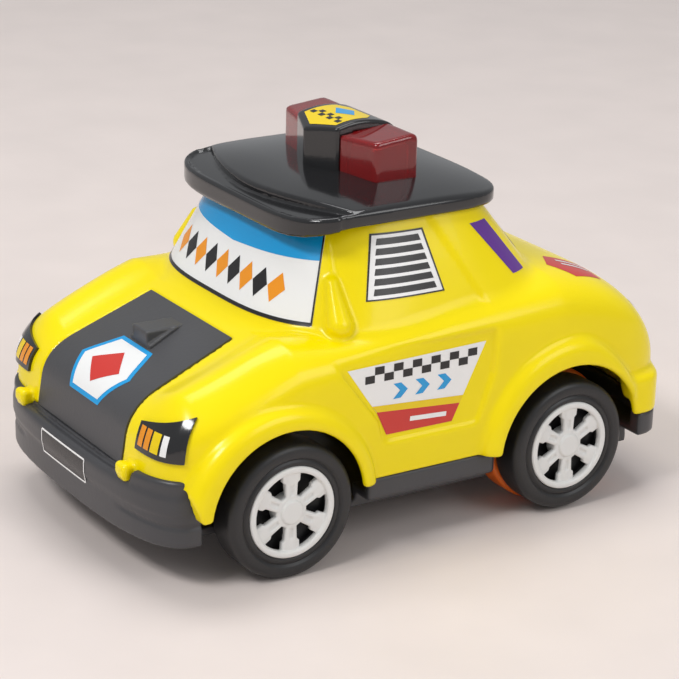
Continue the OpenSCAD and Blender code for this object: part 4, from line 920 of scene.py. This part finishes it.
def lathe(profile, turns):
    """Points and quads of a closed profile (offset along X, radius) turned round X."""
    n, a = len(profile), np.linspace(0, 2 * np.pi, turns, endpoint=False)
    points = [(u, r * math.cos(t), r * math.sin(t)) for t in a for u, r in profile]
    quads = []
    for i in range(turns):
        here, there = i * n, (i + 1) % turns * n
        for j in range(n):
            after = (j + 1) % n
            quads.append((here + j, here + after, there + after, there + j))
    return np.array(points), np.array(quads)


def corner(cu, cr, r, start, end, steps=6):
    """Points of a profile along an arc, with its ends in degrees."""
    angles = np.radians(np.linspace(start, end, steps))
    return [(cu + r * math.cos(t), cr + r * math.sin(t)) for t in angles]


tyre_web = [(-8.0, 2.2), (-5.2, 2.2), (-5.2, 13.2), (-5.05, 13.65), (-0.9, 13.65)]
tyre_bead = [(-0.3, 15.1), (-0.75, 15.35), (-0.75, 15.7), (-0.25, 15.95), (-0.05, 16.6)]
tyre_back = [(-11.5, 14.6), (-11.0, 13.7), (-8.0, 13.7)]
tyre_profile = (tyre_web + corner(-0.9, 14.25, 0.6, -90, 0, 4) + tyre_bead
                + corner(-2.2, 17.8, 2.2, 6, 90) + corner(-9.3, 17.8, 2.2, 90, 180) + tyre_back)


def hub_field(u, v, w):
    """Six-spoke hub: v and w across the wheel, u along the axle with the face at zero."""
    r, t = np.hypot(v, w), np.arctan2(v, w)
    t = np.mod(t + np.pi / 6, np.pi / 3) - np.pi / 6
    along, across = r * np.cos(t), np.abs(r * np.sin(t))
    rim = both(span(r, RIM_IN, RIM_OUT), span(u, SPOKE_BACK, 0.0), 0.8)
    half = SPOKE_HW + SPOKE_GROWTH * along + SPOKE_FOOT * step((along - SPOKE_FOOT_R) / 0.9)
    reach = step((along - GROOVE_IN) / 0.8) * step((GROOVE_OUT - along) / 0.8)
    groove = GROOVE_DEPTH * step(1.5 - across / 0.55) * reach
    face = SPOKE_FACE - groove - SPOKE_EDGE * step((across - 1.1) / 1.2)
    spoke = both(both(across - half, u - face, 0.6), r - RIM_IN - 0.8, 0.4)
    spoke = np.maximum(spoke, SPOKE_BACK - u)
    cap = both(r - CAP_R, u, 0.9)
    collar = both(r - COLLAR_R, u - COLLAR_FACE, 0.8)
    middle = np.maximum(np.minimum(cap, collar), HUB_BACK - u)
    return np.minimum(np.minimum(rim, spoke), middle)


WHEEL_MESHES = (("tyre", lathe(tyre_profile, 96), tyre_black),
                ("hub", net(hub_field, (-5.5, -14.2, -14.2), (0.7, 14.2, 14.2), 0.34), hub_white))
for end, centre_y, centre_z in (("front", FRONT_Y, FRONT_Z), ("rear", REAR_Y, REAR_Z)):
    for name, side in SIDES:
        for what, (points, quads), material in WHEEL_MESHES:
            at = (points + [WHEEL_FACE_X, 0, 0]) * [side, 1, 1] + [0, centre_y, centre_z]
            piece(f"{end}_{name}_{what}", at, quads[:, ::side], material, body=end + "_wheelset",
                  slot=what, stands_for=(f"{end}_{what}_{name}",))


# Camera and stage

CAMERA_TURN, CAMERA_HEIGHT, CAMERA_ROLL = 57.089, 19.867, 1.507
CAMERA_AIM, CAMERA_AWAY = (0, 1.978, 44.53), 710.8
SENSOR, FOCAL_SHARE = 36, 2352.77 / 679
STAGE_HALF = 4
STAGE_AIM = (0, 0, 0.05)


def look():
    """Camera fitted to the photo: degrees, millimetres, and the focal length in picture widths."""
    az, el, roll = (math.radians(v) for v in (CAMERA_TURN, CAMERA_HEIGHT, CAMERA_ROLL))
    back = Vector((math.sin(az) * math.cos(el), -math.cos(az) * math.cos(el), math.sin(el)))
    right = Vector((math.cos(az), math.sin(az), 0))
    up = back.cross(right)
    cam_x = right * math.cos(roll) + up * math.sin(roll)
    cam_y = up * math.cos(roll) - right * math.sin(roll)
    data = bpy.data.cameras.new("camera")
    data.sensor_width, data.lens = SENSOR, SENSOR * FOCAL_SHARE
    data.clip_end = 20
    obj = bpy.data.objects.new("camera", data)
    bpy.context.scene.collection.objects.link(obj)
    place = (Vector(CAMERA_AIM) + back * CAMERA_AWAY) * MM
    obj.matrix_world = Matrix.Translation(place) @ Matrix((cam_x, cam_y, back)).transposed().to_4x4()
    bpy.context.scene.camera = obj


def lamp(name, place, size, power):
    """Area lamp, in metres and watts, that shines at the car."""
    data = bpy.data.lights.new(name, "AREA")
    data.shape, data.energy = "RECTANGLE", power
    data.size, data.size_y = size
    obj = bpy.data.objects.new(name, data)
    bpy.context.scene.collection.objects.link(obj)
    obj.location = place
    obj.rotation_euler = (Vector(STAGE_AIM) - Vector(place)).to_track_quat("-Z", "Y").to_euler()


look()
floor_material = plastic("floor", (0.8, 0.71, 0.67), 0.5, vary=0.02, grain=60, bump=0.01)
floor_mesh = bpy.data.meshes.new("floor")
floor_corners = [(u * STAGE_HALF, v * STAGE_HALF, 0) for u, v in ((-1, -1), (1, -1), (1, 1), (-1, 1))]
floor_mesh.from_pydata(floor_corners, [], [(0, 1, 2, 3)])
floor_mesh.materials.append(floor_material)
floor = bpy.data.objects.new("floor", floor_mesh)
bpy.context.scene.collection.objects.link(floor)
lamp("key", (0.2, -0.9, 1.1), (0.5, 0.25), 8.2)
lamp("fill", (1.2, 0.5, 0.9), (0.8, 0.8), 5.6)
lamp("top", (-0.3, 0.1, 1.3), (0.9, 0.5), 6)
world = bpy.data.worlds.new("studio")
bpy.context.scene.world = world
world.use_nodes = True
backdrop = world.node_tree.nodes["Background"]
backdrop.inputs["Color"].default_value = (0.95, 0.97, 1.0, 1)
backdrop.inputs["Strength"].default_value = 0.42
bpy.context.scene.view_settings.view_transform = "Standard"
